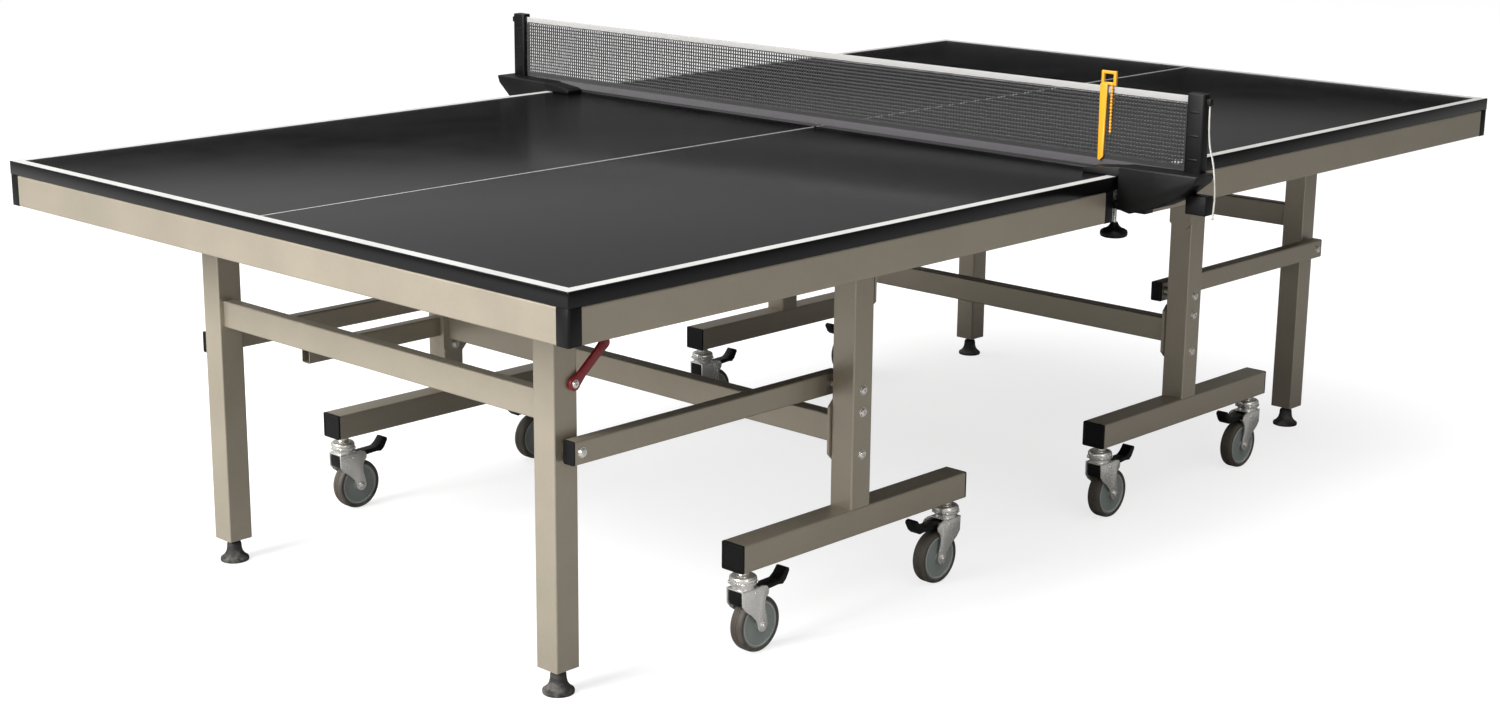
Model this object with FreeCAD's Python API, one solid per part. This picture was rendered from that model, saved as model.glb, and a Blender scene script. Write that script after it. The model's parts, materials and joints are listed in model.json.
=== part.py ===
"""Folding ping pong table in two halves, each half on its own wheeled trolley.

Millimetres, +Z up. The origin is on the floor under the middle of the net. X runs along the
table, Y across it. Half A fills the -X side. Half B is half A turned 180 degrees about Z.
Left and right are as seen from a half's own end, looking at the net.
"""
import FreeCAD, Part
import math
import os

from FreeCAD import Vector

os.makedirs("parts", exist_ok=True)

# ---- driving dimensions -------------------------------------------------------------------
table_length = 2740.0
table_width = 1525.0
table_height = 760.0

board_thick = 25.0
half_gap = 8.0              # between the two boards, under the net
board_corner = 3.0
cut_past = 1.0              # cuts run this far past the faces they leave

rail_height = 57.0          # apron rails under the board's edge
rail_width = 25.0
rail_wall = 1.5
rail_setback = 50.0         # side rails stop this far short of the net line
guard_length = 26.0         # black corner guards, along each side
guard_round = 4.0

tube_side = 50.0            # legs, wheel posts and base bars
tube_wall = 2.0
tube_round = 3.0
cap_thick = 4.0

leg_from_end = 245.0        # leg centre to the end of the table
leg_from_side = 303.5       # leg centre to the long side
leg_bottom = 45.0
leg_bar_height = 50.0       # crossbar between the two legs
leg_bar_width = 25.0
leg_bar_z = 487.0
leg_bar_back = 10.0         # set back from the legs' outer face

link_post_gap = 18.0        # link bar to wheel post
base_length = 600.0
beam_height = 50.0          # crossbar between the two wheel posts
beam_width = 30.0
beam_z = 342.0
beam_plate_wide = 60.0
beam_plate_high = 110.0
beam_plate_thick = 5.0
beam_bolt_pitch = 77.0
plate_chamfer = 12.0        # corners of the beam plates and the fold brackets
nut_thick = 5.0
bolt_tip_proud = 2.0        # bolt tip beyond its nut
stay_length = 330.0         # fixed stay arm on the left wheel post
stay_height = 40.0
stay_width = 25.0

pivot_below_board = 45.0    # fold pivot under the board's underside
pivot_off_post = 25.0       # fold pivot beyond the post's net-side face
fold_clear = 20.0           # inner edge above the base bars when folded
top_clear = 9.0             # board's underside above the post and leg caps
pin_radius = 6.0
pin_clear = 0.05
ear_radius = 15.0
hinge_plate = 4.0
hinge_plate_long = 110.0
knuckle_width = 34.0
cheek_thick = 5.0
cheek_clear = 2.0
fold_pin_proud = 1.0        # beyond its cheeks
leg_pin_proud = 3.0
ear_thick = 12.0
back_plate_thick = 5.0
back_plate_drop = 129.0     # below the fold pivot

link_height = 40.0
link_width = 25.0
link_z = 420.0
link_leg_gap = 5.0
link_pivot_inset = 7.0      # leg pivot, from the leg's centre towards the net
link_overhang = 15.0
link_cap = 3.0
bolt_radius = 5.0
bolt_head_radius = 9.0
bolt_head_thick = 5.0
bolt_head_round = 1.5
bolt_free = 0.5             # radial room at the leg end of the link
face_clear = 0.5            # washer to the part that turns on it
link_washer_thick = 3.0
link_bolt_reach = 6.0       # inside the leg's wall

lever_width = 20.0
lever_thick = 6.0
lever_reach = 86.0
lever_angle = 40.0
lever_pivot_z = 526.0
lever_pivot_inset = 15.0
lever_pin = 4.0
lever_gap = 1.0
lever_root_extra = 2.0
lever_head_radius = 7.0
lever_head_thick = 3.0
lever_pin_inside = 3.0      # beyond the leg's wall

foot_radius = 27.0
foot_neck_radius = 13.0
foot_height = 38.0
foot_stem_radius = 5.0
foot_stem_length = 55.0
leg_plug_high = 30.0
foot_rim = 5.0
foot_edge = 1.5
foot_shoulder = 3.0

wheel_radius = 50.0
tyre_thick = 13.0
tyre_shoulder = 4.0
tyre_ease = 1.0
hub_boss = 2.4              # boss radius as a share of the axle's
wheel_width = 28.0
hub_width = 24.0
axle_radius = 5.0
caster_trail = 30.0
caster_inset = 27.0         # swivel axis to the base bar's end
raceway_radius = 24.0
raceway_thick = 22.5
raceway_lid = 3.0
raceway_lid_in = 5.0
raceway_neck = 6.0
raceway_neck_in = 4.0
collar_radius = 12.0
collar_clear = 0.5          # collar to the raceway under it
collar_height = 11.0
swivel_stem_radius = 6.0
swivel_stem_inside = 10.0   # above the base bar's underside
fork_gap = 5.0              # wheel to fork cheek, both sides together
fork_thick = 3.0
fork_end_radius = 12.0
fork_crown_clear = 22.0     # crown's upper face above the tyre
fork_in = 3.0               # fork's crown inside the raceway's rim
fork_shoulder_out = 6.0
fork_shoulder_drop = 14.0
fork_waist_out = 2.0
fork_waist_drop = 20.0
fork_back_drop = 34.0
axle_proud = 3.0
housing_thick = 8.0
housing_clear = 1.0         # brake housing to the fork's cheeks
housing_tyre_clear = 8.0
pedal_pin_radius = 3.0
pedal_width = 24.0
pedal_pin_forward = 12.0
pedal_pin_drop = 11.0       # below the crown's upper face
pedal_toe = 104.0
pedal_heel = 6.0
pedal_web = 5.0
pedal_toe_long = 26.0
pedal_toe_rise = 25.0

net_height = 152.5
net_bottom = 3.0            # above the playing surface
net_thick = 2.0
net_slot_clear = 0.6        # round the net's foot in the bracket's slot
net_overhang = 114.5        # net past the long side
net_post_wide = 36.0
net_post_thick = 22.0
net_post_above = 6.0
net_post_round = 5.0
bracket_overhang = 167.5    # bracket past the long side
bracket_top = 18.0          # above the playing surface
bracket_low = 64.0          # below the playing surface
bracket_side = 11.0         # past the net line, outside the board
bracket_back = 47.0         # behind the net line, over half A
bracket_rise = 2.0          # towards the post
bracket_nose = 6.0
bracket_nose_drop = 14.0
bracket_belly_in = 46.0
bracket_belly_low = 29.0
bracket_knee_in = 80.0
bracket_root = 27.0
bracket_root_rise = 6.0
post_foot_depth = 3.0       # post let into the bracket
cleat_half_thick = 12.0
cleat_low = 55.0
cleat_high = 20.0
cleat_in = 44.0
cleat_out = 2.0
pad_length = 75.0
pad_thick = 11.0
pad_nose = 4.0
pad_slope = 12.0
board_side_clear = 2.0      # pad and jaw to the board's inner edge
jaw_length = 28.0
jaw_thick = 12.0
jaw_drop = 46.0             # jaw's upper face below the playing surface
clamp_edge_gap = 2.5        # bracket to the board's edge
screw_radius = 4.0
screw_back = 25.0
screw_from_side = 14.5
screw_length = 62.0
screw_pad_radius = 9.0
screw_pad_thick = 4.0
knob_radius = 25.0
knob_height = 15.0
knob_round = 5.0
knob_neck = 12.0
knob_neck_share = 0.6       # neck's foot as a share of the knob's radius
knob_neck_extra = 2.0

gauge_from_side = 72.5      # inner edge of the net gauge to the long side
gauge_hook_wide = 32.0
gauge_hook_high = 28.0
gauge_strip_wide = 16.0
gauge_strip_drop = 136.0
gauge_clear = 0.6
gauge_thick = 4.0
gauge_round = 3.0
gauge_lap = 4.0             # strip and back run up into the hook
gauge_back_drop = 40.0
gauge_back_in = 4.0
strand_in = 6.0
strand_out = 1.5
strand_lap = 6.0
strand_radius = 2.2
strand_bead_radius = 3.4
strand_drop = 84.0
strand_beads = 8

cord_radius = 1.5
cord_eye_high = 14.0
cord_eye_out = 9.0
cord_eye_half = 5.0
cord_eye_below = 2.0
cord_bend = 0.45            # share of a run that a bend takes
cord_route = (              # across, outwards from the post, and down from the eye
    (0.0, 5.0, 0.0), (0.0, 5.0, 34.0), (0.4, 8.5, 72.0), (1.2, 18.0, 100.0),
    (0.4, 23.5, 138.0), (1.4, 25.0, 172.0), (1.0, 21.5, 200.0),
)

# ---- derived places -----------------------------------------------------------------------
half_length = table_length / 2
half_width = table_width / 2
inner_edge = half_gap / 2
board_low = table_height - board_thick
rail_low = board_low - rail_height
tube_half = tube_side / 2
tyre_inner_radius = wheel_radius - tyre_thick
raceway_low = 2 * wheel_radius + fork_crown_clear
raceway_high = raceway_low + raceway_thick
collar_low = raceway_high + collar_clear
base_bottom = collar_low + collar_height
swivel_stem_top = base_bottom + swivel_stem_inside
pedal_pin_z = raceway_low - pedal_pin_drop
base_top = base_bottom + tube_side
pivot_z = board_low - pivot_below_board
pivot_x = -(pivot_z - base_top - fold_clear + inner_edge)
post_x = pivot_x - pivot_off_post - tube_half
post_net_face = post_x + tube_half
post_top = board_low - top_clear - cap_thick
leg_x = -(half_length - leg_from_end)
leg_y = half_width - leg_from_side
leg_top = post_top
leg_net_face = leg_x + tube_half
base_outer = post_x - base_length / 2
base_inner = post_x + base_length / 2
leg_outer_y = leg_y + tube_half
link_inner_y = leg_outer_y + link_leg_gap
link_outer_y = link_inner_y + link_width
post_inner_y = link_outer_y + link_post_gap
post_outer_y = post_inner_y + tube_side
stand_y = post_inner_y + tube_half
link_leg_x = leg_x + link_pivot_inset
leg_pivot_x = link_leg_x + pivot_x - post_x
leg_pivot_z = pivot_z
leg_hinge_gap = ear_thick + 2 * cheek_clear
leg_cheek_out = leg_hinge_gap / 2 + cheek_thick
net_top = table_height + net_height
net_half_span = half_width + net_overhang
bracket_half_span = half_width + bracket_overhang
bracket_inner_y = half_width + clamp_edge_gap
gauge_y = -(half_width - gauge_from_side)

X_AXIS = Vector(1, 0, 0)
Y_AXIS = Vector(0, 1, 0)
Z_AXIS = Vector(0, 0, 1)


# ---- shape helpers ------------------------------------------------------------------------
def block(x0, x1, y0, y1, z0, z1):
    """A box between two corners, given in any order."""
    low = Vector(min(x0, x1), min(y0, y1), min(z0, z1))
    return Part.makeBox(abs(x1 - x0), abs(y1 - y0), abs(z1 - z0), low)


def rod(radius, start, axis, length):
    """A cylinder from start, along axis."""
    return Part.makeCylinder(radius, length, start, axis)


def fillet_along(shape, axis, radius):
    """Round the straight edges that run along axis."""
    edges = []
    for edge in shape.Edges:
        ends = edge.Vertexes
        if len(ends) == 2:
            along = ends[1].Point.sub(ends[0].Point)
            if along.Length > 0 and abs(along.normalize().dot(axis)) > 0.999:
                edges.append(edge)
    return shape.makeFillet(radius, edges)


def square_tube(axis, x0, x1, y0, y1, z0, z1, wall, rounding):
    """A hollow rectangular tube that is open at both ends, along axis."""
    outer = fillet_along(block(x0, x1, y0, y1, z0, z1), axis, rounding)
    inset = [0.0 if abs(a) > 0.5 else wall for a in (axis.x, axis.y, axis.z)]
    inner = block(min(x0, x1) + inset[0], max(x0, x1) - inset[0],
                  min(y0, y1) + inset[1], max(y0, y1) - inset[1],
                  min(z0, z1) + inset[2], max(z0, z1) - inset[2])
    inner = fillet_along(inner, axis, max(rounding - wall, 0.4))
    return outer.cut(inner)


def end_cap(axis, x0, x1, y0, y1, z0, z1, rounding):
    """A flat plastic cap over a tube's end."""
    return fillet_along(block(x0, x1, y0, y1, z0, z1), axis, rounding)


def plate_xz(points, y0, y1):
    """A plate in the XZ plane between y0 and y1, through (x, z) points."""
    corners = [Vector(x, min(y0, y1), z) for x, z in points]
    face = Part.Face(Part.makePolygon(corners + corners[:1]))
    return face.extrude(Vector(0, abs(y1 - y0), 0))


def plate_yz(points, x0, x1):
    """A plate in the YZ plane between x0 and x1, through (y, z) points."""
    corners = [Vector(min(x0, x1), y, z) for y, z in points]
    face = Part.Face(Part.makePolygon(corners + corners[:1]))
    return face.extrude(Vector(abs(x1 - x0), 0, 0))


def union(shapes):
    """Fuse shapes into one clean solid."""
    return shapes[0].fuse(shapes[1:]).removeSplitter()


def mirrored(shape):
    """The same shape on the other long side."""
    return shape.mirror(Vector(0, 0, 0), Y_AXIS)


def both_sides(shapes):
    """Each shape and its mirror image across the table's centre line."""
    return shapes + [mirrored(shape) for shape in shapes]


def half_turn(shape):
    """The shape's place on half B."""
    turned = shape.copy()
    turned.rotate(Vector(0, 0, 0), Z_AXIS, 180)
    return turned


def save(node, shapes):
    """Write one node, as one solid or as a group of separate solids."""
    shape = shapes[0] if len(shapes) == 1 else Part.makeCompound(shapes)
    shape.exportStep("parts/" + node + ".step")


def bolt_y(x, z, head_y, tip_y, radius):
    """A bolt along Y: a round head outside head_y and a shank as far as tip_y."""
    out = 1.0 if head_y > tip_y else -1.0
    head = rod(bolt_head_radius, Vector(x, head_y, z), Vector(0, out, 0), bolt_head_thick)
    rims = [edge for edge in head.Edges if len(edge.Vertexes) == 1]
    outer_rim = max(rims, key=lambda edge: edge.Vertexes[0].Point.y * out)
    head = head.makeFillet(bolt_head_round, [outer_rim])
    shank = rod(radius, Vector(x, head_y, z), Vector(0, -out, 0), abs(head_y - tip_y))
    return union([head, shank])


def hole_y(x, z, radius, y0, y1):
    """A drill along Y, for cutting."""
    low = min(y0, y1)
    return rod(radius, Vector(x, low, z), Y_AXIS, abs(y1 - y0))


# ---- top: board, rails, guards, hinge brackets --------------------------------------------
def board():
    slab = block(-half_length, -inner_edge, -half_width, half_width, board_low, table_height)
    return fillet_along(slab, Z_AXIS, board_corner)


def rails():
    """Four apron rails; the corner guards stand between their ends."""
    outer_x = -half_length
    inner_x = -rail_setback
    side = square_tube(X_AXIS, outer_x + guard_length, inner_x - guard_length,
                       half_width - rail_width, half_width, rail_low, board_low,
                       rail_wall, tube_round)
    end_y = half_width - guard_length
    outer_end = square_tube(Y_AXIS, outer_x, outer_x + rail_width, -end_y, end_y,
                            rail_low, board_low, rail_wall, tube_round)
    inner_end = square_tube(Y_AXIS, inner_x - rail_width, inner_x, -end_y, end_y,
                            rail_low, board_low, rail_wall, tube_round)
    return both_sides([side]) + [outer_end, inner_end]


def corner_guard(corner_x, toward):
    """An L-shaped guard that closes the corner between two rails, on the left side."""
    along_end = block(corner_x, corner_x + toward * rail_width,
                      half_width - guard_length, half_width, rail_low, board_low)
    along_side = block(corner_x, corner_x + toward * guard_length,
                       half_width - rail_width, half_width, rail_low, board_low)
    guard = union([along_end, along_side])
    corner = Vector(corner_x, half_width, 0)
    sharp = [edge for edge in guard.Edges
             if all(abs(v.Point.x - corner.x) < 0.01 and abs(v.Point.y - corner.y) < 0.01
                    for v in edge.Vertexes)]
    return guard.makeFillet(guard_round, sharp)


def fold_knuckle():
    """Plate under the board with the knuckle that turns on the wheel post's pin."""
    plate = block(pivot_x - hinge_plate_long / 2, pivot_x + hinge_plate_long / 2,
                  stand_y - tube_half, stand_y + tube_half, board_low - hinge_plate, board_low)
    neck = block(pivot_x - ear_radius, pivot_x + ear_radius,
                 stand_y - knuckle_width / 2, stand_y + knuckle_width / 2,
                 pivot_z, board_low - hinge_plate)
    barrel = hole_y(pivot_x, pivot_z, ear_radius,
                    stand_y - knuckle_width / 2, stand_y + knuckle_width / 2)
    bore = hole_y(pivot_x, pivot_z, pin_radius + pin_clear, stand_y - tube_half, stand_y + tube_half)
    return union([plate, neck, barrel]).cut(bore)


def leg_clevis():
    """Plate under the board with two cheeks and the pin that the leg hangs from."""
    out = leg_cheek_out
    pieces = [block(leg_pivot_x - hinge_plate_long / 2, leg_pivot_x + hinge_plate_long / 2,
                    leg_y - tube_half, leg_y + tube_half, board_low - hinge_plate, board_low)]
    for side in (-1, 1):
        near = leg_y + side * leg_hinge_gap / 2
        far = leg_y + side * out
        pieces.append(block(leg_pivot_x - ear_radius, leg_pivot_x + ear_radius, near, far,
                            leg_pivot_z, board_low - hinge_plate))
        pieces.append(hole_y(leg_pivot_x, leg_pivot_z, ear_radius, near, far))
    pieces.append(hole_y(leg_pivot_x, leg_pivot_z, pin_radius,
                         leg_y - out - leg_pin_proud, leg_y + out + leg_pin_proud))
    return union(pieces)


# ---- trolley: wheel stands, crossbeam, caps, bolts ----------------------------------------
def beam_bolt_heights():
    return (beam_z - beam_bolt_pitch / 2, beam_z + beam_bolt_pitch / 2)


def wheel_post():
    post = square_tube(Z_AXIS, post_x - tube_half, post_x + tube_half, post_inner_y, post_outer_y,
                       base_top, post_top, tube_wall, tube_round)
    for z in beam_bolt_heights() + (link_z,):
        post = post.cut(hole_y(post_x, z, bolt_radius, post_inner_y - cut_past, post_outer_y + cut_past))
    return post


def base_bar():
    bar = square_tube(X_AXIS, base_outer + cap_thick, base_inner - cap_thick,
                      post_inner_y, post_outer_y, base_bottom, base_top, tube_wall, tube_round)
    for x in caster_places():
        bar = bar.cut(rod(swivel_stem_radius + pin_clear,
                          Vector(x, stand_y, base_bottom - cut_past), Z_AXIS,
                          tube_wall + 2 * cut_past))
    return bar


def fold_bracket():
    """Back plate on the post's net side, two cheeks and the fold pin."""
    low = pivot_z - back_plate_drop
    high = pivot_z + ear_radius
    x0 = post_net_face
    x1 = post_net_face + back_plate_thick
    outline = [(post_inner_y + plate_chamfer, low), (post_outer_y - plate_chamfer, low),
               (post_outer_y, low + plate_chamfer), (post_outer_y, high),
               (post_inner_y, high), (post_inner_y, low + plate_chamfer)]
    pieces = [plate_yz(outline, x0, x1)]
    cheek_out = knuckle_width / 2 + cheek_clear + cheek_thick
    for side in (-1, 1):
        near = stand_y + side * (knuckle_width / 2 + cheek_clear)
        far = stand_y + side * cheek_out
        pieces.append(block(x1, pivot_x, near, far, pivot_z - ear_radius, high))
        pieces.append(hole_y(pivot_x, pivot_z, ear_radius, near, far))
    pieces.append(hole_y(pivot_x, pivot_z, pin_radius,
                         stand_y - cheek_out - fold_pin_proud, stand_y + cheek_out + fold_pin_proud))
    return union(pieces)


def stay_arm():
    """Short fixed arm that points outwards from the left wheel post."""
    x1 = post_x - tube_half
    tube = square_tube(X_AXIS, x1 - stay_length, x1, stand_y - stay_width / 2,
                       stand_y + stay_width / 2, beam_z - stay_height / 2,
                       beam_z + stay_height / 2, tube_wall, tube_round)
    return tube


def crossbeam():
    """Beam between the wheel posts with a bolted plate at each end."""
    end = post_inner_y
    bar = square_tube(Y_AXIS, post_x - beam_width / 2, post_x + beam_width / 2,
                      -(end - beam_plate_thick), end - beam_plate_thick,
                      beam_z - beam_height / 2, beam_z + beam_height / 2, tube_wall, tube_round)
    half_w = beam_plate_wide / 2
    half_h = beam_plate_high / 2
    cut = plate_chamfer
    outline = [(post_x - half_w + cut, beam_z - half_h), (post_x + half_w - cut, beam_z - half_h),
               (post_x + half_w, beam_z - half_h + cut), (post_x + half_w, beam_z + half_h - cut),
               (post_x + half_w - cut, beam_z + half_h), (post_x - half_w + cut, beam_z + half_h),
               (post_x - half_w, beam_z + half_h - cut), (post_x - half_w, beam_z - half_h + cut)]
    plate = plate_xz(outline, end - beam_plate_thick, end)
    for z in beam_bolt_heights():
        plate = plate.cut(hole_y(post_x, z, bolt_radius, end - beam_plate_thick - cut_past, end + cut_past))
    return [bar] + both_sides([plate])


def base_caps():
    """End caps of the base bars and of the wheel posts."""
    caps = []
    for x0 in (base_outer, base_inner - cap_thick):
        caps.append(end_cap(X_AXIS, x0, x0 + cap_thick, post_inner_y, post_outer_y,
                            base_bottom, base_top, tube_round))
    caps.append(end_cap(Z_AXIS, post_x - tube_half, post_x + tube_half, post_inner_y,
                        post_outer_y, post_top, post_top + cap_thick, tube_round))
    return caps


def trolley_bolts():
    """Beam bolts with nuts, link pivot bolts with spacers, and the casters' collars."""
    parts = []
    for z in beam_bolt_heights():
        plate_y = post_inner_y - beam_plate_thick
        tip = plate_y - nut_thick - bolt_tip_proud
        bolt = bolt_y(post_x, z, post_outer_y, tip, bolt_radius)
        nut = hole_y(post_x, z, bolt_head_radius, tip + bolt_tip_proud, plate_y)
        parts.append(union([bolt, nut]))
    tip = link_inner_y - face_clear - link_washer_thick
    pivot = bolt_y(post_x, link_z, post_outer_y, tip, bolt_radius)
    spacer = hole_y(post_x, link_z, bolt_head_radius, link_outer_y + face_clear, post_inner_y)
    washer = hole_y(post_x, link_z, bolt_head_radius, tip, link_inner_y - face_clear)
    parts.append(union([pivot, spacer, washer]))
    for x in caster_places():
        collar = rod(collar_radius, Vector(x, stand_y, collar_low), Z_AXIS, base_bottom - collar_low)
        parts.append(collar.cut(rod(swivel_stem_radius + pin_clear,
                                    Vector(x, stand_y, collar_low - cut_past), Z_AXIS,
                                    collar_height + 2 * cut_past)))
    return parts


# ---- legs, link bars, lever ---------------------------------------------------------------
def leg(side):
    """Leg tube, hinge ear, top cap and foot plug; side is 1 for left and -1 for right."""
    y0 = leg_y - tube_half
    y1 = leg_outer_y
    tube = square_tube(Z_AXIS, leg_x - tube_half, leg_x + tube_half, y0, y1,
                       leg_bottom, leg_top, tube_wall, tube_round)
    tube = tube.cut(hole_y(link_leg_x, link_z, bolt_radius + bolt_free,
                           y1 - tube_wall - cut_past, y1 + cut_past))
    if side < 0:
        tube = tube.cut(hole_y(lever_x(), lever_pivot_z, lever_pin + pin_clear,
                               y1 - tube_wall - cut_past, y1 + cut_past))
    arm = block(leg_net_face, leg_pivot_x, leg_y - ear_thick / 2, leg_y + ear_thick / 2,
                leg_pivot_z - ear_radius, leg_pivot_z + ear_radius)
    eye = hole_y(leg_pivot_x, leg_pivot_z, ear_radius, leg_y - ear_thick / 2, leg_y + ear_thick / 2)
    bore = hole_y(leg_pivot_x, leg_pivot_z, pin_radius + pin_clear, leg_y - tube_half, leg_outer_y)
    ear = union([arm, eye]).cut(bore)
    inner = tube_half - tube_wall
    plug = block(leg_x - inner, leg_x + inner, leg_y - inner, leg_y + inner,
                 leg_bottom, leg_bottom + leg_plug_high)
    plug = fillet_along(plug, Z_AXIS, tube_round - tube_wall)
    plug = plug.cut(rod(foot_stem_radius + pin_clear, Vector(leg_x, leg_y, leg_bottom - cut_past),
                        Z_AXIS, leg_plug_high + 2 * cut_past))
    cap = end_cap(Z_AXIS, leg_x - tube_half, leg_x + tube_half, y0, y1,
                  leg_top, leg_top + cap_thick, tube_round)
    shapes = [tube, ear, plug, cap]
    if side < 0:
        shapes = [mirrored(shape) for shape in shapes]
    return shapes


def leg_crossbar():
    x0 = leg_x - tube_half + leg_bar_back
    reach = leg_y - tube_half
    return square_tube(Y_AXIS, x0, x0 + leg_bar_width, -reach, reach,
                       leg_bar_z - leg_bar_height / 2, leg_bar_z + leg_bar_height / 2,
                       tube_wall, tube_round)


def levelling_foot(side):
    """Bell-shaped rubber foot on a threaded stem."""
    profile = [Vector(0, 0, 0), Vector(foot_radius - foot_edge, 0, 0), Vector(foot_radius, 0, foot_edge),
               Vector(foot_radius, 0, foot_rim),
               Vector(foot_neck_radius, 0, foot_height - foot_shoulder),
               Vector(foot_neck_radius - foot_shoulder, 0, foot_height),
               Vector(foot_stem_radius, 0, foot_height),
               Vector(foot_stem_radius, 0, foot_height + foot_stem_length),
               Vector(0, 0, foot_height + foot_stem_length)]
    face = Part.Face(Part.makePolygon(profile + profile[:1]))
    foot = face.revolve(Vector(0, 0, 0), Z_AXIS, 360)
    foot.translate(Vector(leg_x, side * leg_y, 0))
    return foot


def link_bar():
    x0 = link_leg_x - link_overhang
    x1 = post_x + link_overhang
    bar = square_tube(X_AXIS, x0, x1, link_inner_y, link_outer_y,
                      link_z - link_height / 2, link_z + link_height / 2, tube_wall, tube_round)
    y0 = link_inner_y - cut_past
    y1 = link_outer_y + cut_past
    bar = bar.cut(hole_y(post_x, link_z, bolt_radius + pin_clear, y0, y1))
    return bar.cut(hole_y(link_leg_x, link_z, bolt_radius, y0, y1))


def link_fittings():
    """End caps of the link bar and the bolt that holds it to the leg."""
    x0 = link_leg_x - link_overhang
    x1 = post_x + link_overhang
    z0 = link_z - link_height / 2
    z1 = link_z + link_height / 2
    outer = end_cap(X_AXIS, x0 - link_cap, x0, link_inner_y, link_outer_y, z0, z1, tube_round)
    inner = end_cap(X_AXIS, x1, x1 + link_cap, link_inner_y, link_outer_y, z0, z1, tube_round)
    tip = leg_outer_y - tube_wall - link_bolt_reach
    bolt = bolt_y(link_leg_x, link_z, link_outer_y, tip, bolt_radius)
    washer = hole_y(link_leg_x, link_z, bolt_head_radius, leg_outer_y + face_clear, link_inner_y)
    return [outer, inner, union([bolt, washer])]


def lever_x():
    return leg_x + lever_pivot_inset


def lock_lever():
    """Red release lever on the right leg's outer face, with its pivot pin."""
    y1 = -(leg_outer_y + lever_gap)
    y0 = y1 - lever_thick
    half = lever_width / 2
    bar = block(0, lever_reach, y0, y1, -half, half)
    root = hole_y(0, 0, half + lever_root_extra, y0, y1)
    tip = hole_y(lever_reach, 0, half, y0, y1)
    lever = union([bar, root, tip])
    lever.rotate(Vector(0, 0, 0), Y_AXIS, -lever_angle)
    pin = hole_y(0, 0, lever_pin, y0, y1 + lever_gap + tube_wall + lever_pin_inside)
    head = hole_y(0, 0, lever_head_radius, y0 - lever_head_thick, y0)
    lever = union([lever, pin, head])
    lever.translate(Vector(lever_x(), 0, lever_pivot_z))
    return lever


# ---- casters ------------------------------------------------------------------------------
def caster_places():
    """Swivel axes of the outer and the inner caster."""
    return (base_outer + caster_inset, base_inner - caster_inset)


def fork():
    """Raceway, two cheeks, axle and stem; it trails towards +X from its swivel at x = 0."""
    inner = (wheel_width + fork_gap) / 2
    outer = inner + fork_thick
    top = raceway_low
    width = raceway_radius - fork_in
    race = rod(raceway_radius, Vector(0, 0, top + raceway_neck), Z_AXIS,
               raceway_thick - raceway_neck - raceway_lid)
    lid = Part.makeCone(raceway_radius, raceway_radius - raceway_lid_in, raceway_lid,
                        Vector(0, 0, raceway_high - raceway_lid), Z_AXIS)
    neck = rod(raceway_radius - raceway_neck_in, Vector(0, 0, top - cut_past), Z_AXIS,
               raceway_neck + cut_past)
    crown = block(-width, width, -outer, outer, top - fork_thick, top)
    stem = rod(swivel_stem_radius, Vector(0, 0, raceway_high), Z_AXIS, swivel_stem_top - raceway_high)
    pieces = [race, lid, neck, crown, stem]
    axle_z = wheel_radius
    for side in (-1, 1):
        outline = [(-width, top), (width, top),
                   (width + fork_shoulder_out, top - fork_shoulder_drop),
                   (width + fork_waist_out, top - fork_waist_drop),
                   (caster_trail + fork_end_radius, axle_z),
                   (caster_trail - fork_end_radius, axle_z), (-width, top - fork_back_drop)]
        pieces.append(plate_xz(outline, side * inner, side * outer))
        pieces.append(hole_y(caster_trail, axle_z, fork_end_radius, side * inner, side * outer))
    pieces.append(hole_y(caster_trail, axle_z, axle_radius, -outer - axle_proud, outer + axle_proud))
    pieces.append(hole_y(pedal_pin_forward, pedal_pin_z, pedal_pin_radius, -outer, outer))
    housing_x = -width + fork_in
    housing_far = caster_trail - housing_x - housing_thick
    housing_low = axle_z + math.sqrt((wheel_radius + housing_tyre_clear) ** 2 - housing_far ** 2)
    housing = block(housing_x, housing_x + housing_thick, -inner + housing_clear,
                    inner - housing_clear, housing_low, top - fork_thick)
    return [union(pieces), housing]


def wheel():
    """Rubber tyre on a hub that turns on the fork's axle."""
    half = wheel_width / 2
    wall_top = wheel_radius - tyre_shoulder - tyre_ease
    outline = [(tyre_inner_radius, -half + tyre_ease), (wall_top, -half),
               (wheel_radius, -half + tyre_shoulder), (wheel_radius, half - tyre_shoulder),
               (wall_top, half), (tyre_inner_radius, half - tyre_ease)]
    corners = [Vector(r, y, 0) for r, y in outline]
    tyre = Part.Face(Part.makePolygon(corners + corners[:1])).revolve(Vector(0, 0, 0), Y_AXIS, 360)
    hub = hole_y(0, 0, tyre_inner_radius, -hub_width / 2, hub_width / 2)
    boss = hole_y(0, 0, hub_boss * axle_radius, -half - tyre_ease, half + tyre_ease)
    hub = union([hub, boss]).cut(hole_y(0, 0, axle_radius + pin_clear, -wheel_width, wheel_width))
    for shape in (tyre, hub):
        shape.translate(Vector(caster_trail, 0, wheel_radius))
    return [tyre, hub]


def pedal():
    """Brake pedal that turns on a pin across the fork, above the tyre."""
    half = pedal_width / 2
    x = pedal_pin_forward
    z = pedal_pin_z
    root = pedal_toe - pedal_toe_long
    outline = [(x - pedal_heel, z - 0.8 * pedal_web), (x + 2 * pedal_web, z - pedal_web),
               (root, z - 0.2 * pedal_web), (root + 2.4 * pedal_web, z - 0.6 * pedal_web),
               (pedal_toe, z + pedal_toe_rise - pedal_web),
               (pedal_toe - 2 * pedal_web, z + pedal_toe_rise), (root, z + 1.4 * pedal_web),
               (x, z + 1.2 * pedal_web), (x - pedal_heel, z + 0.8 * pedal_web)]
    bar = plate_xz(outline, -half, half)
    return bar.cut(hole_y(pedal_pin_forward, pedal_pin_z, pedal_pin_radius + pin_clear,
                          -half - cut_past, half + cut_past))


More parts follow.
